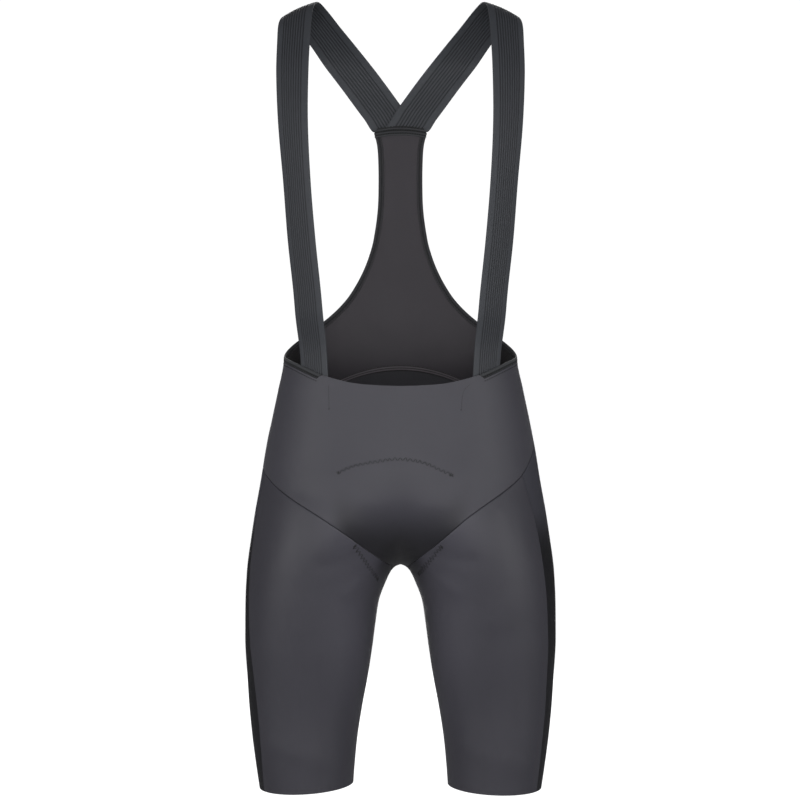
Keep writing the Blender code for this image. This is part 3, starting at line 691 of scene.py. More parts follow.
def leg_grid(side_name, places, start_at, end_at, rear):
    """One panel of a leg between two lines down it.  Each column keeps its share of the
    panel's width from the top seam down to the hem.  The inseam and the seam above draw
    the cloth in; the flat side seam doesn't.  Shade is painted near the crotch, light is
    painted inside the thigh on the front, and a highlight over the hip on the rear."""
    top = leg_seam(side_name, places, BELOW)
    share = (places - start_at(top)) / (end_at(top) - start_at(top))
    share[0], share[-1] = 0.0, 1.0
    bottom = hem_height(side_name, start_at(HEM) + (end_at(HEM) - start_at(HEM)) * share)
    height = top + (bottom - top) * stops(np.abs(bottom - top), True, False, LEG_ROWS).T
    around = start_at(height) + (end_at(height) - start_at(height)) * share
    seams = [(0, False), (1, rear)]
    points, steps, laid = dressed(around, height, SIDES[side_name], seams=seams)
    # Shade painted near the crotch; light painted inside the thigh on the front, and a highlight
    # over the hip on the rear.
    painted_shade = smoothstep(FORK_ENDS, FORK_FULL, np.hypot(points[..., 0], height - CROTCH))
    if rear:
        painted_light = HIP_PAINTED_LIGHT * smoothstep(HIP_LIGHT_LOW, HIP_LIGHT_HIGH, height)
    else:
        painted_light = THIGH_PAINTED_LIGHT * smoothstep(THIGH_LIGHT_LOW, THIGH_LIGHT_HIGH, height)
        painted_light = painted_light * smoothstep(THIGH_LIGHT_OUT, THIGH_LIGHT_IN, np.abs(points[..., 0]))
    laid[..., 2] = np.maximum(laid[..., 2], FORK_SHADE * painted_shade)
    laid[..., 2] += painted_light * (1 - laid[..., 2])
    return points, steps, laid


def leg_places(start, end):
    return start + (end - start) * stops((end - start) * AROUND_LENGTH, True, True)


for side_name in SIDES:
    corner = side_corner(side_name)
    inseam_front = lambda height: np.full(np.shape(height), GAP_AROUND)
    inseam_back = lambda height: np.full(np.shape(height), 1 - GAP_AROUND)
    before = lambda height: side_line(side_name, height) - GAP_AROUND
    after = lambda height: side_line(side_name, height) + GAP_AROUND
    places = leg_places(GAP_AROUND, corner - GAP_AROUND)
    leg_front = cloth_piece(
        f"leg_front_cloth_{side_name}",
        [leg_grid(side_name, places, inseam_front, before, False)],
        LEG_CHARCOAL_SHADED,
        CHARCOAL_INSIDE,
    )
    places = leg_places(corner + GAP_AROUND, 1 - GAP_AROUND)
    leg_rear = cloth_piece(
        f"leg_rear_cloth_{side_name}",
        [leg_grid(side_name, places, after, inseam_back, True)],
        DARK_SIDE,
        DARK_INSIDE,
    )
    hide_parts(f"leg_front_{side_name}")
    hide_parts(f"leg_rear_{side_name}")

# ------------------------------------------------------------------ back bib
# The keyhole back that rises from the arc seam between the shoulder blades, in a lighter
# knit.  From the front its inner face shows.
BIB_FACE = knit_look("bib_knit", (0.055, 0.054, 0.058), column=0.0009, loop=0.0011, bump=0.35)
BIB_INSIDE = knit_look("bib_knit_inside", (0.0325, 0.0284, 0.0345), column=0.0009, loop=0.0011,
                       bump=0.4, sheen=0.15)
YOKE_RISE = 0.0040
BIB_CELLS = 70                       # across half of it
BIB_SHADE_SPAN = (0.100, 0.122)              # X between which shade is painted on the bib's inside beside a brace
BIB_SIDE_SHADE = 1.15


def yoke_height(x):
    corner = BIB_EDGE[-1][1]
    return YOKE + YOKE_RISE * (1 - np.minimum(np.abs(x) / corner, 1.0) ** 2)


def bib_grid(side_name):
    """Rows follow the bound edge down to the side of the waist, then the side seam."""
    distances = EDGE_END + (EDGE_SIDE - EDGE_END) * stops(EDGE_END - EDGE_SIDE, True, False)
    edge_around, edge_height = panel_edge(distances)
    edge_around = np.maximum(edge_around, 0.5 + GAP_AROUND)
    columns = stops(0.5 * AROUND_LENGTH, False, True, BIB_CELLS)
    around = 1 - (1 - edge_around[:, None]) * columns
    height = np.broadcast_to(edge_height[:, None], around.shape).copy()
    height[0] = yoke_height(skin(around[0], height[0])[:, 0])
    corner = edge_height[-1]
    last = 1 - (0.5 - GAP_AROUND) * columns
    seam = seam_edge(arc_height, last, ABOVE)
    below = stops(float(corner - seam[-1]), False, True)[1:, None]
    height = np.vstack([height, corner + (seam - corner) * below])
    around = np.vstack([around, np.broadcast_to(last, (len(below), len(last)))])
    seams = [(0, False), (0, True), (1, True)]
    on_middle = np.zeros(height.shape, bool)
    on_middle[:, 0] = True
    return dressed(around, height, SIDES[side_name], seams=seams, on_middle=on_middle)


def paint_bib_side_shade(piece):
    """Inside, behind each brace, shade is painted on the knit beside the side seam."""
    data = piece.data
    shade = data.attributes["sewn"].data
    for face in data.polygons:
        for index in face.vertices if face.material_index == 1 else ():
            dark = BIB_SIDE_SHADE * float(smoothstep(*BIB_SHADE_SPAN, abs(data.vertices[index].co.x)))
            shade[index].value = max(shade[index].value, dark)


back_bib = cloth_piece(
    "back_bib_cloth", [bib_grid(side_name) for side_name in SIDES], BIB_FACE, BIB_INSIDE
)
paint_bib_side_shade(back_bib)
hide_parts("back_bib")

# ------------------------------------------------------------------ edge tape
# A soft elastic tape folded over the free edge from each brace round the side and up the
# keyhole to the yoke, held by two needle rows, one of them through both its faces.
STITCH_GROOVE = 0.0039
GROOVE_HALF = 0.0008     # half-width of the shade painted in the groove and along the cut edge
GROOVE_MORE = 0.3        # at the waist both painted shades are darker
EDGE_SHADE = 1.3
TAPE_CELL = 0.002
TAPE_PROFILE = (         # distance from the fold, wall
    (0.0000, 0.0008),
    (0.0003, 0.0015),
    (0.0010, 0.0021),
    (0.0020, 0.0023),
    (0.0028, 0.0022),
    (0.0034, 0.0018),
    (0.0039, 0.0016),
    (0.0044, 0.0018),
    (0.0052, 0.0020),
    (0.0059, 0.0019),
    (0.0062, 0.0016),
)
TAPE = knit_look("edge_tape", (0.056, 0.058, 0.062), column=0.0005, loop=0.0012, bump=0.4,
                 roughness=0.75, gloss=0.1)
TAPE_INSIDE = knit_look("edge_tape_inside", (0.043, 0.043, 0.047), column=0.0005, loop=0.0012,
                        bump=0.4, roughness=0.75, gloss=0.1)
tape_insets, tape_walls = np.array(TAPE_PROFILE).T


def tape_grid(side_name):
    distances = np.linspace(BAND_FROM, EDGE_END, round((EDGE_END - BAND_FROM) / TAPE_CELL) + 1)
    waist = np.clip((EDGE_SIDE - distances) / (EDGE_SIDE - BAND_FROM), 0.0, 1.0)
    inset = tape_insets[:, None]
    along = distances + inset / BAND_WIDTH * BAND_SLANT * waist
    around, height = edge_inset(along, np.broadcast_to(inset, along.shape))
    points, steps, _ = dressed(around, height, SIDES[side_name], wall=1.0)
    steps = steps * tape_walls[:, None, None]
    # Shade painted in the stitched groove and along the cut edge, more at the waist.
    groove, cut = (
        np.exp(-(((inset - line) / GROOVE_HALF) ** 2)) for line in (STITCH_GROOVE, tape_insets[-1])
    )
    dark = groove + (GROOVE_MORE * groove + EDGE_SHADE * cut) * np.minimum(3.0 * waist, 1.0)
    return points, steps, together(inset, distances, dark)


def thread_look(name, colour):
    """Twisted polyester thread."""
    look, tree, shader = new_look(name)
    place = add_node(tree, "TexCoord", {}).outputs["Object"]
    twist = add_node(tree, "TexNoise", {"Vector": place, "Scale": 2600.0}).outputs["Fac"]
    dye = {"Colour": (*colour, 1.0), "Amount": 0.5, "Yarn": twist}
    relief = {"Strength": 0.4, "Distance": 0.0001, "Height": twist}
    rough = math_node(tree, "MULTIPLY", twist, 0.2)
    wire(tree, shader, {
        "Base Color": add_node(tree, "Group", dye, node_tree=YARN_MOTTLE_AND_PAINTED_LIGHT).outputs["Colour"],
        "Roughness": math_node(tree, "ADD", rough, 0.45),
        "Normal": add_node(tree, "Bump", relief).outputs["Normal"],
    })
    return look


def stitching(name, stitches, look, thickness):
    """One piece of many short stitches, each from a start to an end along the cloth, as
    (starts, ends, facing).  A stitch is a thread pulled flat at both ends."""
    starts, ends, facing = (np.concatenate(part) for part in zip(*stitches))
    mesh = bmesh.new()
    number = mesh.verts.layers.int.new("number")
    bmesh.ops.create_uvsphere(mesh, u_segments=6, v_segments=4, radius=1.0)
    made = 1
    while made < len(starts):
        whole = mesh.verts[:] + mesh.edges[:] + mesh.faces[:]
        for item in bmesh.ops.duplicate(mesh, geom=whole)["geom"]:
            if isinstance(item, bmesh.types.BMVert):
                item[number] += made
        made *= 2
    spare = [vert for vert in mesh.verts if vert[number] >= len(starts)]
    bmesh.ops.delete(mesh, geom=spare, context="VERTS")
    along = (ends - starts) / 2
    across = unit(np.cross(facing, along)) * thickness / 2
    up = unit(np.cross(along, across)) * thickness / 3
    for vert in mesh.verts:
        at = vert[number]
        x, y, z = vert.co
        vert.co = (starts[at] + ends[at]) / 2 + across[at] * x + up[at] * y + along[at] * z
    bmesh.ops.recalc_face_normals(mesh, faces=mesh.faces)
    for face in mesh.faces:
        face.smooth = True
    piece = finished(name, mesh, [look], sharp=80)
    return piece


def on_cloth(around, height, side, out):
    """Points this far off the middle of the cloth at these places, and its normals."""
    points, normals, _ = dressed(around, height, side, wall=2.0, out=out)
    return points, normals


def dashes(points, normals, length=0.86):
    """Straight stitches along a line of needle holes, with gaps between them."""
    middle, half = (points[1:] + points[:-1]) / 2, (points[1:] - points[:-1]) / 2 * length
    return middle - half, middle + half, unit(normals[1:] + normals[:-1])


# Two needle rows hold the tape: one in its groove, the other just past its cut edge.  At
# the waist the rows stand further apart.
STITCH = 0.0030          # from needle hole to needle hole
FIRST_HOLE, LAST_HOLE = 0.003, 0.001         # how far inside the ends of the tape
ROWS_APART, ROWS_CLOSE = -0.01, 0.02         # up to and from where, past the waist's side
THREAD_THICK = 0.0012
STITCH_ROW_COLUMNS = ("waist_inset", "bib_inset", "on_tape")
STITCH_ROWS = (
    (0.0041, 0.0039, True),
    (0.0088, 0.0070, False),
)
DARK_THREAD = thread_look("dark_thread", (0.005, 0.005, 0.006))


def tape_stitches(side_name):
    holes = np.arange(BAND_FROM + FIRST_HOLE, EDGE_END - LAST_HOLE, STITCH)
    at_waist = np.clip((EDGE_SIDE + ROWS_CLOSE - holes) / (ROWS_CLOSE - ROWS_APART), 0.0, 1.0)
    runs = []
    for row in STITCH_ROWS:
        given = dict(zip(STITCH_ROW_COLUMNS, row))
        inset = given["bib_inset"] + (given["waist_inset"] - given["bib_inset"]) * at_waist
        wall = np.interp(inset, tape_insets, tape_walls) if given["on_tape"] else CLOTH_WALL
        around, height = edge_inset(holes, inset)
        for face in (1, -1):
            points, normals = on_cloth(around, height, SIDES[side_name], face * wall / 2)
            runs.append(dashes(points, normals * face))
    return runs


for side_name in SIDES:
    tape = cloth_piece(f"edge_tape_{side_name}", [tape_grid(side_name)], TAPE, TAPE_INSIDE)
    runs = tape_stitches(side_name)
    stitching(f"tape_stitches_{side_name}", runs, DARK_THREAD, THREAD_THICK)
    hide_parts(f"edge_binding_{side_name}")

# ------------------------------------------------------------------ braces
# Ribbed elastic 46 mm wide, woven with nine grooves between two plain selvedges.  Each is
# sewn inside the front panel, passes over the shoulder, and is sewn to the bib at the yoke,
# where the left one lies over the right.
BRACE_WIDTH = 0.046
BRACE_WALL = 0.0018
GROOVE_WALL = 0.0009
SELVEDGE_WALL = 0.0011
SELVEDGE_ROUND = 0.02    # share of the width over which its edges thin
GROOVES = 9
# Colour that paints shade in the grooves between the ribs.
GROOVE_PAINTED_SHADE = (0.12, 0.12, 0.14, 1.0)
BRACE_MARGIN = 0.16      # share of the width that each plain selvedge takes
TAIL_INSET = 0.0027
CROSSING_LIFT = 0.0023
BRACE_BULGE = 0.0020
BRACE = (                # X, Y and Z of the inner edge, then of the outer edge
    (0.0815, -0.0830, -0.4880, 0.1165, -0.0600, -0.4790),
    (0.0850, -0.0820, -0.4560, 0.1180, -0.0560, -0.4440),
    (0.0880, -0.0840, -0.4080, 0.1215, -0.0580, -0.4000),
    (0.0920, -0.0890, -0.3560, 0.1250, -0.0620, -0.3520),
    (0.0985, -0.0950, -0.2920, 0.1315, -0.0660, -0.2900),
    (0.1040, -0.0985, -0.2240, 0.1365, -0.0690, -0.2240),
    (0.1072, -0.0960, -0.1540, 0.1425, -0.0680, -0.1560),
    (0.1070, -0.0810, -0.0900, 0.1455, -0.0575, -0.0970),
    (0.1055, -0.0590, -0.0450, 0.1455, -0.0420, -0.0580),
    (0.1035, -0.0330, -0.0130, 0.1445, -0.0240, -0.0290),
    (0.0985, -0.0020, -0.0002, 0.1390, 0.0040, -0.0175),
    (0.0885, 0.0240, -0.0060, 0.1280, 0.0300, -0.0235),
    (0.0730, 0.0430, -0.0230, 0.1110, 0.0520, -0.0420),
    (0.0535, 0.0620, -0.0440, 0.0920, 0.0690, -0.0680),
    (0.0305, 0.0760, -0.0710, 0.0695, 0.0800, -0.0970),
    (0.0060, 0.0850, -0.1030, 0.0500, 0.0870, -0.1225),
    (-0.0249, 0.0910, -0.1450, 0.0322, 0.0910, -0.1450),
)
TAIL_TOP, TAIL_FREE = -0.426, -0.370
BACK_FREE, BACK_LIFTED, BACK_LAID = -0.060, -0.095, -0.105
BRACE_CELL = 0.004
BRACE_CUT = 0.030        # length over which the brace's rows turn to run along the yoke
brace_table = np.array(BRACE)
brace_middles = (brace_table[:, :3] + brace_table[:, 3:]) / 2
BRACE_KNOTS = lengths_from(brace_middles)
BRACE_LENGTH = BRACE_KNOTS[-1]


def brace_edges(distance):
    values = [read_smooth(BRACE_KNOTS, column, distance) for column in brace_table.T]
    return together(*values[:3]), together(*values[3:])


def brace_lay(distance, share, lift):
    """The middle of the brace's wall and the way its outside faces, for rows along it and
    places across it."""
    inner, outer = brace_edges(distance)
    ahead = sum(brace_edges(distance + AHEAD)) - sum(brace_edges(distance - AHEAD))
    outside = unit(np.cross(outer - inner, ahead))[:, None, :] + np.zeros((1, len(share), 1))
    crown = BRACE_BULGE * 4 * share * (1 - share)
    point = inner[:, None] + (outer - inner)[:, None] * share[:, None] + outside * crown[:, None]
    x, y, z = point[..., 0], point[..., 1], point[..., 2]
    at = around_at(x, z, False)
    facing = skin_normal(at, z)
    on_panel = (smoothstep(TAIL_FREE, TAIL_TOP, z) * (y < 0))[..., None]
    point = point + (skin(at, z) - facing * TAIL_INSET - point) * on_panel
    outside = outside + (facing - outside) * on_panel
    end = np.clip((distance - BRACE_LENGTH + BRACE_CUT) / BRACE_CUT, 0.0, 1.0)[:, None] ** 2
    behind = (y > 0) & (z < BACK_FREE)
    line = YOKE + (z - YOKE) * (1 - end)
    z = np.where(behind, line + (yoke_height(x) + 2 * SEAM_GAP - YOKE) * end, point[..., 2])
    at = around_at(np.abs(x), z, True)
    facing = skin_normal(at, z) * together(np.sign(x), 1.0, 1.0)
    on_back = smoothstep(BACK_FREE, BACK_LAID, z) * behind
    y = point[..., 1] + (skin(at, z)[..., 1] - point[..., 1]) * on_back
    y = y - lift * smoothstep(BACK_FREE, BACK_LIFTED, z) * behind
    outside = outside + (facing - outside) * on_back[..., None]
    return together(point[..., 0], y, z), unit(outside)


def rib_walls(share):
    """Wall of the elastic across its width: rounded selvedges, then ribs and grooves."""
    rib = (share - BRACE_MARGIN) / (1 - 2 * BRACE_MARGIN) * GROOVES
    groove = np.sin(np.pi * np.clip(rib, 0, GROOVES)) ** 2
    wall = BRACE_WALL - (BRACE_WALL - GROOVE_WALL) * groove**1.6
    rounded = np.clip(np.minimum(share, 1 - share) / SELVEDGE_ROUND, 0.0, 1.0)
    return SELVEDGE_WALL + (wall - SELVEDGE_WALL) * rounded


def brace_look():
    """Woven elastic: fine cross ribs, with shade painted in the lengthwise grooves."""
    look = knit_look("ribbed_elastic", (0.044, 0.0475, 0.055), column=0.0012, loop=0.0010,
                     roughness=0.6, sheen=0.08, bump=0.25, swing=0.08)
    tree = look.node_tree
    base = tree.nodes["Principled BSDF"].inputs["Base Color"]
    weave = add_node(tree, "UVMap", {}, uv_map="weave").outputs["UV"]
    across = add_node(tree, "SeparateXYZ", {0: weave}).outputs["X"]
    width = BRACE_WIDTH * (1 - 2 * BRACE_MARGIN) / GROOVES
    rib = math_node(tree, "DIVIDE", across, width)
    rib = math_node(tree, "SUBTRACT", rib, BRACE_MARGIN * BRACE_WIDTH / width)
    wave = math_node(tree, "MULTIPLY", math_node(tree, "PINGPONG", rib, 0.5), 2.0)
    inside = math_node(tree, "MULTIPLY", math_node(tree, "GREATER_THAN", rib, 0.0),
                       math_node(tree, "LESS_THAN", rib, float(GROOVES)))
    mask = math_node(tree, "MULTIPLY", math_node(tree, "POWER", wave, 1.9), inside)
    shades = {"Factor": mask, "A": base.links[0].from_socket, "B": GROOVE_PAINTED_SHADE}
    mix = add_node(tree, "Mix", shades, data_type="RGBA", blend_type="MULTIPLY")
    tree.links.new(mix.outputs["Result"], base)
    return look


ELASTIC = brace_look()
ribbed = np.linspace(BRACE_MARGIN, 1 - BRACE_MARGIN, GROOVES * 8 + 1)
selvedge = [0.0, 0.4 * SELVEDGE_ROUND, SELVEDGE_ROUND]
selvedge = np.concatenate([selvedge, np.linspace(0.0, BRACE_MARGIN, 7)[2:-1]])
BRACE_ACROSS = np.concatenate([selvedge, ribbed, 1 - selvedge[::-1]])
for side_name, side in SIDES.items():
    distances = np.linspace(0.0, BRACE_LENGTH, round(BRACE_LENGTH / BRACE_CELL) + 1)
    lift = CROSSING_LIFT if side_name == "left" else 0.0
    points, outside = brace_lay(distances, BRACE_ACROSS, lift)
    mirror = np.array([side, 1, 1])
    steps = outside * mirror * rib_walls(BRACE_ACROSS)[:, None] / 2
    laid = together(BRACE_ACROSS * BRACE_WIDTH, distances[:, None], 0.0)
    brace = cloth_piece(f"brace_{side_name}", [(points * mirror, steps, laid)], ELASTIC)
    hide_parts(f"strap_{side_name}")

# ------------------------------------------------------------------ yoke seam
# The feet of both braces and the top of the bib are covered inside and outside by a narrow
# folded strip, held by two needle rows and a zigzag over the braces.
YOKE_STRIP = (           # height over the yoke line, wall, painted shade
    (-0.0062, 0.0005, 0.8),
    (-0.0058, 0.0011, 0.0),
    (-0.0047, 0.0012, 0.0),
    (-0.0040, 0.0007, 1.0),
    (-0.0032, 0.0007, 1.0),
    (-0.0026, 0.0012, 0.0),
    (-0.0012, 0.0012, 0.0),
    (-0.0004, 0.0006, 1.0),
    (0.0010, 0.0006, 1.0),
    (0.0014, 0.0012, 0.0),
    (0.0022, 0.0014, 0.0),
    (0.0029, 0.0011, 0.0),
    (0.0032, 0.0005, 0.8),
)
YOKE_STRIP_HALF = 0.0318
STRIP_ROUND, STRIP_THIN = 0.0015, 0.4        # its ends are rounded to a thinner wall
ON_BIB, ON_TAPE = 0.0013, 0.0021             # how far off the skin it lies on bib and tape
TAPE_FROM, TAPE_TO = 0.024, 0.027            # half-widths between which it climbs the tape
OVER_BRACE = {"inside": CROSSING_LIFT + 0.0016, "outside": 0.0018}
BRACE_FROM, BRACE_TO = -0.003, 0.0006        # heights between which it climbs the braces
YOKE_ROWS = ((-0.0036, 0.60), (0.0003, 0.92))     # height, share of each stitch that shows
YOKE_THREAD = 0.0013
YOKE_FIRST_HOLE, YOKE_LAST_HOLE = 0.002, 0.001
YOKE_ZIGZAG = (0.0028, 0.0052)
YOKE_ZIGZAG_HALF, YOKE_ZIGZAG_HOLES = 0.030, 31
strip_up, strip_walls, strip_painted_shade = np.array(YOKE_STRIP).T


def over_yoke(x, up, face):
    """Points on the middle of the strip, this far above the yoke line, and its facing."""
    x, up = np.broadcast_arrays(x, up)
    height = yoke_height(x) + up
    around = around_at(np.abs(x), height, True)
    mirror = together(np.where(x < 0, -1.0, 1.0), 1.0, 1.0)
    points, normals = skin(around, height) * mirror, skin_normal(around, height) * mirror
    low = ON_BIB + (ON_TAPE - ON_BIB) * smoothstep(TAPE_FROM, TAPE_TO, np.abs(x))
    high = np.maximum(OVER_BRACE[face], low)
    lift = low + (high - low) * smoothstep(BRACE_FROM, BRACE_TO, up)
    facing = normals * (-1 if face == "inside" else 1)
    return points + facing * lift[..., None], facing


for face in ("inside", "outside"):
    strip_x = np.linspace(-YOKE_STRIP_HALF, YOKE_STRIP_HALF, 60)
    points, normals = over_yoke(strip_x, strip_up[:, None], face)
    thinned = np.clip((YOKE_STRIP_HALF - np.abs(strip_x)) / STRIP_ROUND, STRIP_THIN, 1.0)
    steps = normals * (strip_walls[:, None] * thinned)[..., None] / 2
    # Shade painted in the strip's grooves and along its edges.
    laid = together(strip_x, strip_up[:, None], strip_painted_shade[:, None])
    strip = cloth_piece(f"yoke_strip_{face}", [(points, steps, laid)], TAPE)
    first, last = YOKE_FIRST_HOLE - YOKE_STRIP_HALF, YOKE_STRIP_HALF - YOKE_LAST_HOLE
    needle_x = np.arange(first, last, STITCH)
    runs = []
    for up, shown in YOKE_ROWS:
        points, normals = over_yoke(needle_x, up, face)
        points = points + normals * np.interp(up, strip_up, strip_walls) / 2
        runs.append(dashes(points, normals, length=shown))
    needle_x = np.linspace(-YOKE_ZIGZAG_HALF, YOKE_ZIGZAG_HALF, YOKE_ZIGZAG_HOLES)
    up = np.where(np.arange(YOKE_ZIGZAG_HOLES) % 2 == 0, *YOKE_ZIGZAG)
    points, normals = over_yoke(needle_x, up, face)
    runs.append(dashes(points + normals * THREAD_THICK, normals, length=1.0))
    stitching(f"yoke_stitches_{face}", runs, DARK_THREAD, YOKE_THREAD)

# ------------------------------------------------------------------ pad stitching
# The seat pad is sewn in from inside with an open zigzag in dark thread.  Outside, only
# the stitches show: an arc across the belly and a short run up the inside of each thigh.
BELLY_ARC = (            # X, height
    (-0.0729, -0.5620),
    (-0.0557, -0.5540),
    (-0.0293, -0.5482),
    (-0.0029, -0.5450),
    (0.0224, -0.5482),
    (0.0454, -0.5574),
    (0.0603, -0.5643),
)
THIGH_RUN_COLUMNS = ("side", "start_x", "start_z", "end_x", "end_z")
THIGH_RUNS = (
    (-1, -0.0535, -0.6440, -0.0270, -0.6890),
    (1, 0.0480, -0.6450, 0.0215, -0.6830),
)
BELLY_ZIGZAG = (0.0058, 0.0046)      # pitch and width
THIGH_ZIGZAG = (0.0062, 0.0062)
ZIGZAG_THREAD = 0.0010
TACK = 0.0012 * np.arange(4)         # close stitches at each end of a zigzag
PITCH_UNEVEN, WIDTH_UNEVEN = 0.06, 0.12


def on_front(x, height):
    """Points on the outside of the front cloth at these X and heights, and its normals."""
    around = around_at(np.abs(x), height, False)
    both = [on_cloth(around, height, side, CLOTH_WALL / 2) for side in (1, -1)]
    left = (x >= 0)[:, None]
    return np.where(left, both[0][0], both[1][0]), np.where(left, both[0][1], both[1][1])


def zigzag(x, height, pitch, width, seed):
    """An open zigzag along a line on the front, a little uneven, closer at its ends."""
    points, normals = on_front(x, height)
    run = lengths_from(points)
    needles = np.arange(TACK[-1] + pitch * 0.5, run[-1] - TACK[-1], pitch * 0.5)
    needles = np.concatenate([TACK, needles, run[-1] - TACK[::-1]])
    uneven = np.random.default_rng(seed).normal(0.0, 1.0, (2, len(needles)))
    needles = np.clip(needles + uneven[0] * pitch * PITCH_UNEVEN, 0.0, run[-1])
    read = lambda grid, at: together(*(np.interp(at, run, column) for column in grid.T))
    facing = unit(read(normals, needles))
    over = unit(np.cross(facing, read(points, needles + NEAR) - read(points, needles - NEAR)))
    swing = np.where(np.arange(len(needles)) % 2 == 0, 0.5, -0.5)
    swing = swing * (1 + WIDTH_UNEVEN * uneven[1]) * width
    return dashes(read(points, needles) + over * swing[:, None], facing, length=1.0)


arc_x, arc_z = np.array(BELLY_ARC).T
belly_x = np.linspace(arc_x[0], arc_x[-1], 200)
belly_arc = zigzag(belly_x, read_smooth(arc_x, arc_z, belly_x), *BELLY_ZIGZAG, seed=1)
stitching("pad_stitches_belly", [belly_arc], DARK_THREAD, ZIGZAG_THREAD)
for row in THIGH_RUNS:
    given = dict(zip(THIGH_RUN_COLUMNS, row))
    share = np.linspace(0.0, 1.0, 60)
    run_x = given["start_x"] + (given["end_x"] - given["start_x"]) * share
    run_z = given["start_z"] + (given["end_z"] - given["start_z"]) * share
    side_name = "left" if given["side"] > 0 else "right"
    run = zigzag(run_x, run_z, *THIGH_ZIGZAG, seed=2 + given["side"])
    stitching(
        f"pad_stitches_thigh_{side_name}", [run], DARK_THREAD, ZIGZAG_THREAD
    )

# ------------------------------------------------------------------ brace tails
# Below the edge each brace's tail is caught to the front panel from inside by one fine row
# of stitches along its inner edge, ending in a tack.
TAIL_ROWS = (            # side, X, height
    (-1, -0.0827, -0.4600),
    (-1, -0.0827, -0.4700),
    (-1, -0.0824, -0.4880),
    (1, 0.0800, -0.4590),
    (1, 0.0735, -0.4650),
    (1, 0.0712, -0.4740),
    (1, 0.0700, -0.4890),
)
TAIL_STITCH = 0.0019
TAIL_TACK = np.array([(-0.0011, 0.0), (0.0011, 0.0004), (-0.0011, 0.0008), (0.0011, 0.0012)])
TAIL_THREAD = 0.0006
for side_name, side in SIDES.items():
    tail_x, tail_z = np.array([row[1:] for row in TAIL_ROWS if row[0] == side]).T
    needles = np.arange(tail_z[0], tail_z[-1], -TAIL_STITCH)
    line_x = np.interp(-needles, -tail_z, tail_x)
    line = dashes(*on_front(line_x, needles))
    tack_x, tack_z = (TAIL_TACK + (tail_x[-1], tail_z[-1])).T
    tack = dashes(*on_front(tack_x, tack_z), length=1.0)
    stitching(f"tail_stitches_{side_name}", [line, tack], DARK_THREAD, TAIL_THREAD)

# ------------------------------------------------------------------ seam allowances
# Inside every seam the two cut edges are overlocked together and lie flat as a narrow
# thread-covered band.  The one on the arc seam shows through the open waist.
ALLOWANCE_WALL = 0.0011
ALLOWANCE_WIDTH, ARC_WIDTH = 0.0060, 0.0066
ALLOWANCE_DEPTH = 0.0006             # clear of the cloth
ACROSS_BAND = np.array([-0.5, -0.42, -0.3, -0.12, 0.0, 0.12, 0.3, 0.42, 0.5])
SHADED_LINES = (np.abs(ACROSS_BAND) > 0.35) | (ACROSS_BAND == 0.0)     # painted shade beside two ridges: at both edges and down the middle
RIDGE_SHADE = 1.3
OVERLOCK = knit_look("overlock_thread", (0.014, 0.014, 0.016), column=0.0006, loop=0.0016,
                     bump=0.8)
ARC_OVERLOCK = knit_look("overlock_thread_arc", (0.090, 0.080, 0.090), column=0.0006,
                         loop=0.0016, bump=0.8)


def allowance(name, places, heights, across, width, look, sides):
    """A band inside the cloth along a seam: across moves places over the seam."""
    grids = []
    inward = -(CLOTH_WALL / 2 + ALLOWANCE_WALL / 2 + ALLOWANCE_DEPTH)
    thinned = 1 - 0.5 * (np.abs(ACROSS_BAND) == 0.5)
    for side in sides:
        rows = [across(places, heights, share * width) for share in ACROSS_BAND]
        around, height = np.moveaxis(np.array(rows), 1, 0)
        points, steps, _ = dressed(around, height, side, wall=ALLOWANCE_WALL, out=inward)
        along = lengths_from(points[len(ACROSS_BAND) // 2])
        # Shade painted along the band's edges and middle.
        dark = RIDGE_SHADE * SHADED_LINES[:, None]
        laid = together((ACROSS_BAND * width)[:, None], along, dark)
        grids.append((points, steps * thinned[:, None, None], laid))
    return cloth_piece(name, grids, look)


def up_and_down(around, height, move):
    """Moves places across a seam that runs roughly level, along the cloth."""
    _, upwards = skin_steps(around, height)
    return around, height + move / np.linalg.norm(upwards, axis=-1)


def sideways(around, height, move):
    """Moves places across a seam that runs down a leg.  Past the inseam around goes on
    from the other end."""
    round_steps, _ = skin_steps(np.maximum(around, 2e-4), height)
    return (around + move / np.linalg.norm(round_steps, axis=-1)) % 1.0, height


arc_places = np.linspace(0.502, 1.0, 110)
arc_band = allowance(
    "arc_seam_allowance", arc_places, arc_height(arc_places), up_and_down, ARC_WIDTH,
    ARC_OVERLOCK, SIDES.values(),
)
TRUNK_SIDE_TOP = -0.4285
PAST_SEAM, OVER_HEM = 0.004, 0.001
for side_name, side in SIDES.items():
    trunk = np.linspace(TRUNK_SIDE_TOP, leg_top(side_name, 0.5) + PAST_SEAM, 60)
    round_leg = np.linspace(0.03, 0.97, 240)
    top = leg_top(side_name, side_corner(side_name)) - PAST_SEAM
    low = hem_height(side_name, side_line(side_name, HEM)) + OVER_HEM
    side_seam = np.linspace(top, low, 160)
    # The rows crowd where the inseams of both legs meet under the crotch.
    down = np.linspace(0.0, 1.0, 130) ** 2
    inseam = CROTCH - 1e-8 + (hem_height(side_name, 0.0) + OVER_HEM - CROTCH) * down
    for name, places, heights, across, slot in (
        ("trunk_side", np.full(trunk.shape, 0.5), trunk, sideways, "panel_knit"),
        ("leg_seam", round_leg, leg_top(side_name, round_leg), up_and_down, "panel_knit"),
        ("side_seam", side_line(side_name, side_seam), side_seam, sideways, "side_knit"),
        ("inseam", np.zeros(inseam.shape), inseam, sideways, "panel_knit"),
    ):
        band = allowance(
            f"{name}_allowance_{side_name}", places, heights, across, ALLOWANCE_WIDTH,
            OVERLOCK, [side],
        )

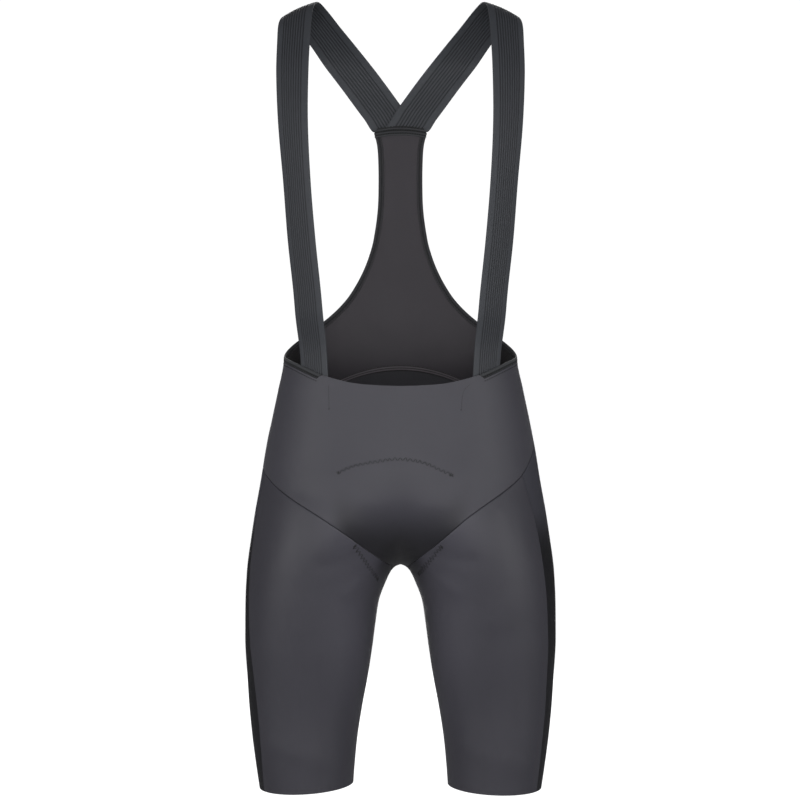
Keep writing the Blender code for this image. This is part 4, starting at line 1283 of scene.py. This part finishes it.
# ------------------------------------------------------------------ camera and studio
# A long lens at hip height, far in front; a pale floor that curves up into a wall all
# round; broad soft lights high and low before and behind, and low ones at both sides.
CAMERA_AT = (-0.0006, -2.5, -0.477)
LENS = 93.75
camera_data = bpy.data.cameras.new("camera")
camera_data.lens = LENS
camera = bpy.data.objects.new("camera", camera_data)
camera.location = CAMERA_AT
camera.rotation_euler = (math.radians(90), 0.0, 0.0)
bpy.context.scene.collection.objects.link(camera)
bpy.context.scene.camera = camera

FLOOR = -1.16
BOWL_RADIUS = 4.5
BOWL_CURVE = 1.5
BOWL_TOP = 5.0
sweep = bmesh.new()
rim = [sweep.verts.new((0.0, 0.0, FLOOR))]
for turn in np.linspace(0.0, math.pi / 2, 13):
    out = BOWL_RADIUS - BOWL_CURVE * (1 - math.sin(turn))
    rim.append(sweep.verts.new((out, 0.0, FLOOR + BOWL_CURVE * (1 - math.cos(turn)))))
rim.append(sweep.verts.new((BOWL_RADIUS, 0.0, BOWL_TOP)))
profile = rim + [sweep.edges.new(pair) for pair in zip(rim[:-1], rim[1:])]
bmesh.ops.spin(
    sweep, geom=profile, cent=(0, 0, 0), axis=(0, 0, 1), angle=math.tau, steps=64, use_merge=True
)
bmesh.ops.remove_doubles(sweep, verts=sweep.verts, dist=1e-5)
bmesh.ops.recalc_face_normals(sweep, faces=sweep.faces)
floor_data = bpy.data.meshes.new("floor")
sweep.to_mesh(floor_data)
sweep.free()
floor_data.shade_smooth()
floor = bpy.data.objects.new("floor", floor_data)
bpy.context.scene.collection.objects.link(floor)
# The paper shows white to the camera but throws little light back at the cloth.
paper, paper_tree, paper_shader = new_look("pale_paper")
wire(paper_tree, paper_shader, {
    "Base Color": (0.18, 0.18, 0.19, 1.0),
    "Roughness": 0.9,
    "Emission Color": (1.0, 1.0, 1.0, 1.0),
    "Emission Strength": add_node(paper_tree, "LightPath", {}).outputs["Is Camera Ray"],
})
floor_data.materials.append(paper)

LIGHTS = (               # name, X, Y and Z, width, height, watts
    ("light_front", 0.0, -2.4, 0.75, 1.2, 0.8, 17.0),
    ("light_front_low", 0.0, -2.8, -0.35, 1.2, 1.2, 10.0),
    ("light_near_left", 0.9, -2.6, -0.60, 0.6, 1.0, 6.0),
    ("light_near_right", -0.9, -2.6, -0.60, 0.6, 1.0, 6.0),
    ("light_side_left", 1.6, -1.8, -0.40, 0.7, 1.4, 7.0),
    ("light_side_right", -1.6, -1.8, -0.40, 0.7, 1.4, 7.0),
    ("light_wide_left", 2.2, -1.0, -0.30, 0.7, 1.4, 15.0),
    ("light_wide_right", -2.2, -1.0, -0.30, 0.7, 1.4, 15.0),
    ("light_back", 0.0, 2.4, 0.75, 1.6, 0.8, 28.0),
    ("light_back_low", 0.0, 2.8, -0.50, 1.6, 1.2, 20.0),
)
LIGHTS_AIM = Vector((0.0, 0.0, -0.5))
for name, x, y, z, width, height, watts in LIGHTS:
    data = bpy.data.lights.new(name, "AREA")
    data.shape = "RECTANGLE"
    data.size, data.size_y, data.energy = width, height, watts
    light = bpy.data.objects.new(name, data)
    light.location = (x, y, z)
    aim = LIGHTS_AIM - light.location
    light.rotation_euler = aim.to_track_quat("-Z", "Y").to_euler()
    bpy.context.scene.collection.objects.link(light)
world = bpy.data.worlds.new("studio")
world.use_nodes = True
sky = world.node_tree.nodes["Background"]
wire(world.node_tree, sky, {"Color": (0.95, 0.97, 1.0, 1.0), "Strength": 0.03})
bpy.context.scene.world = world
bpy.context.scene.view_settings.view_transform = "Standard"
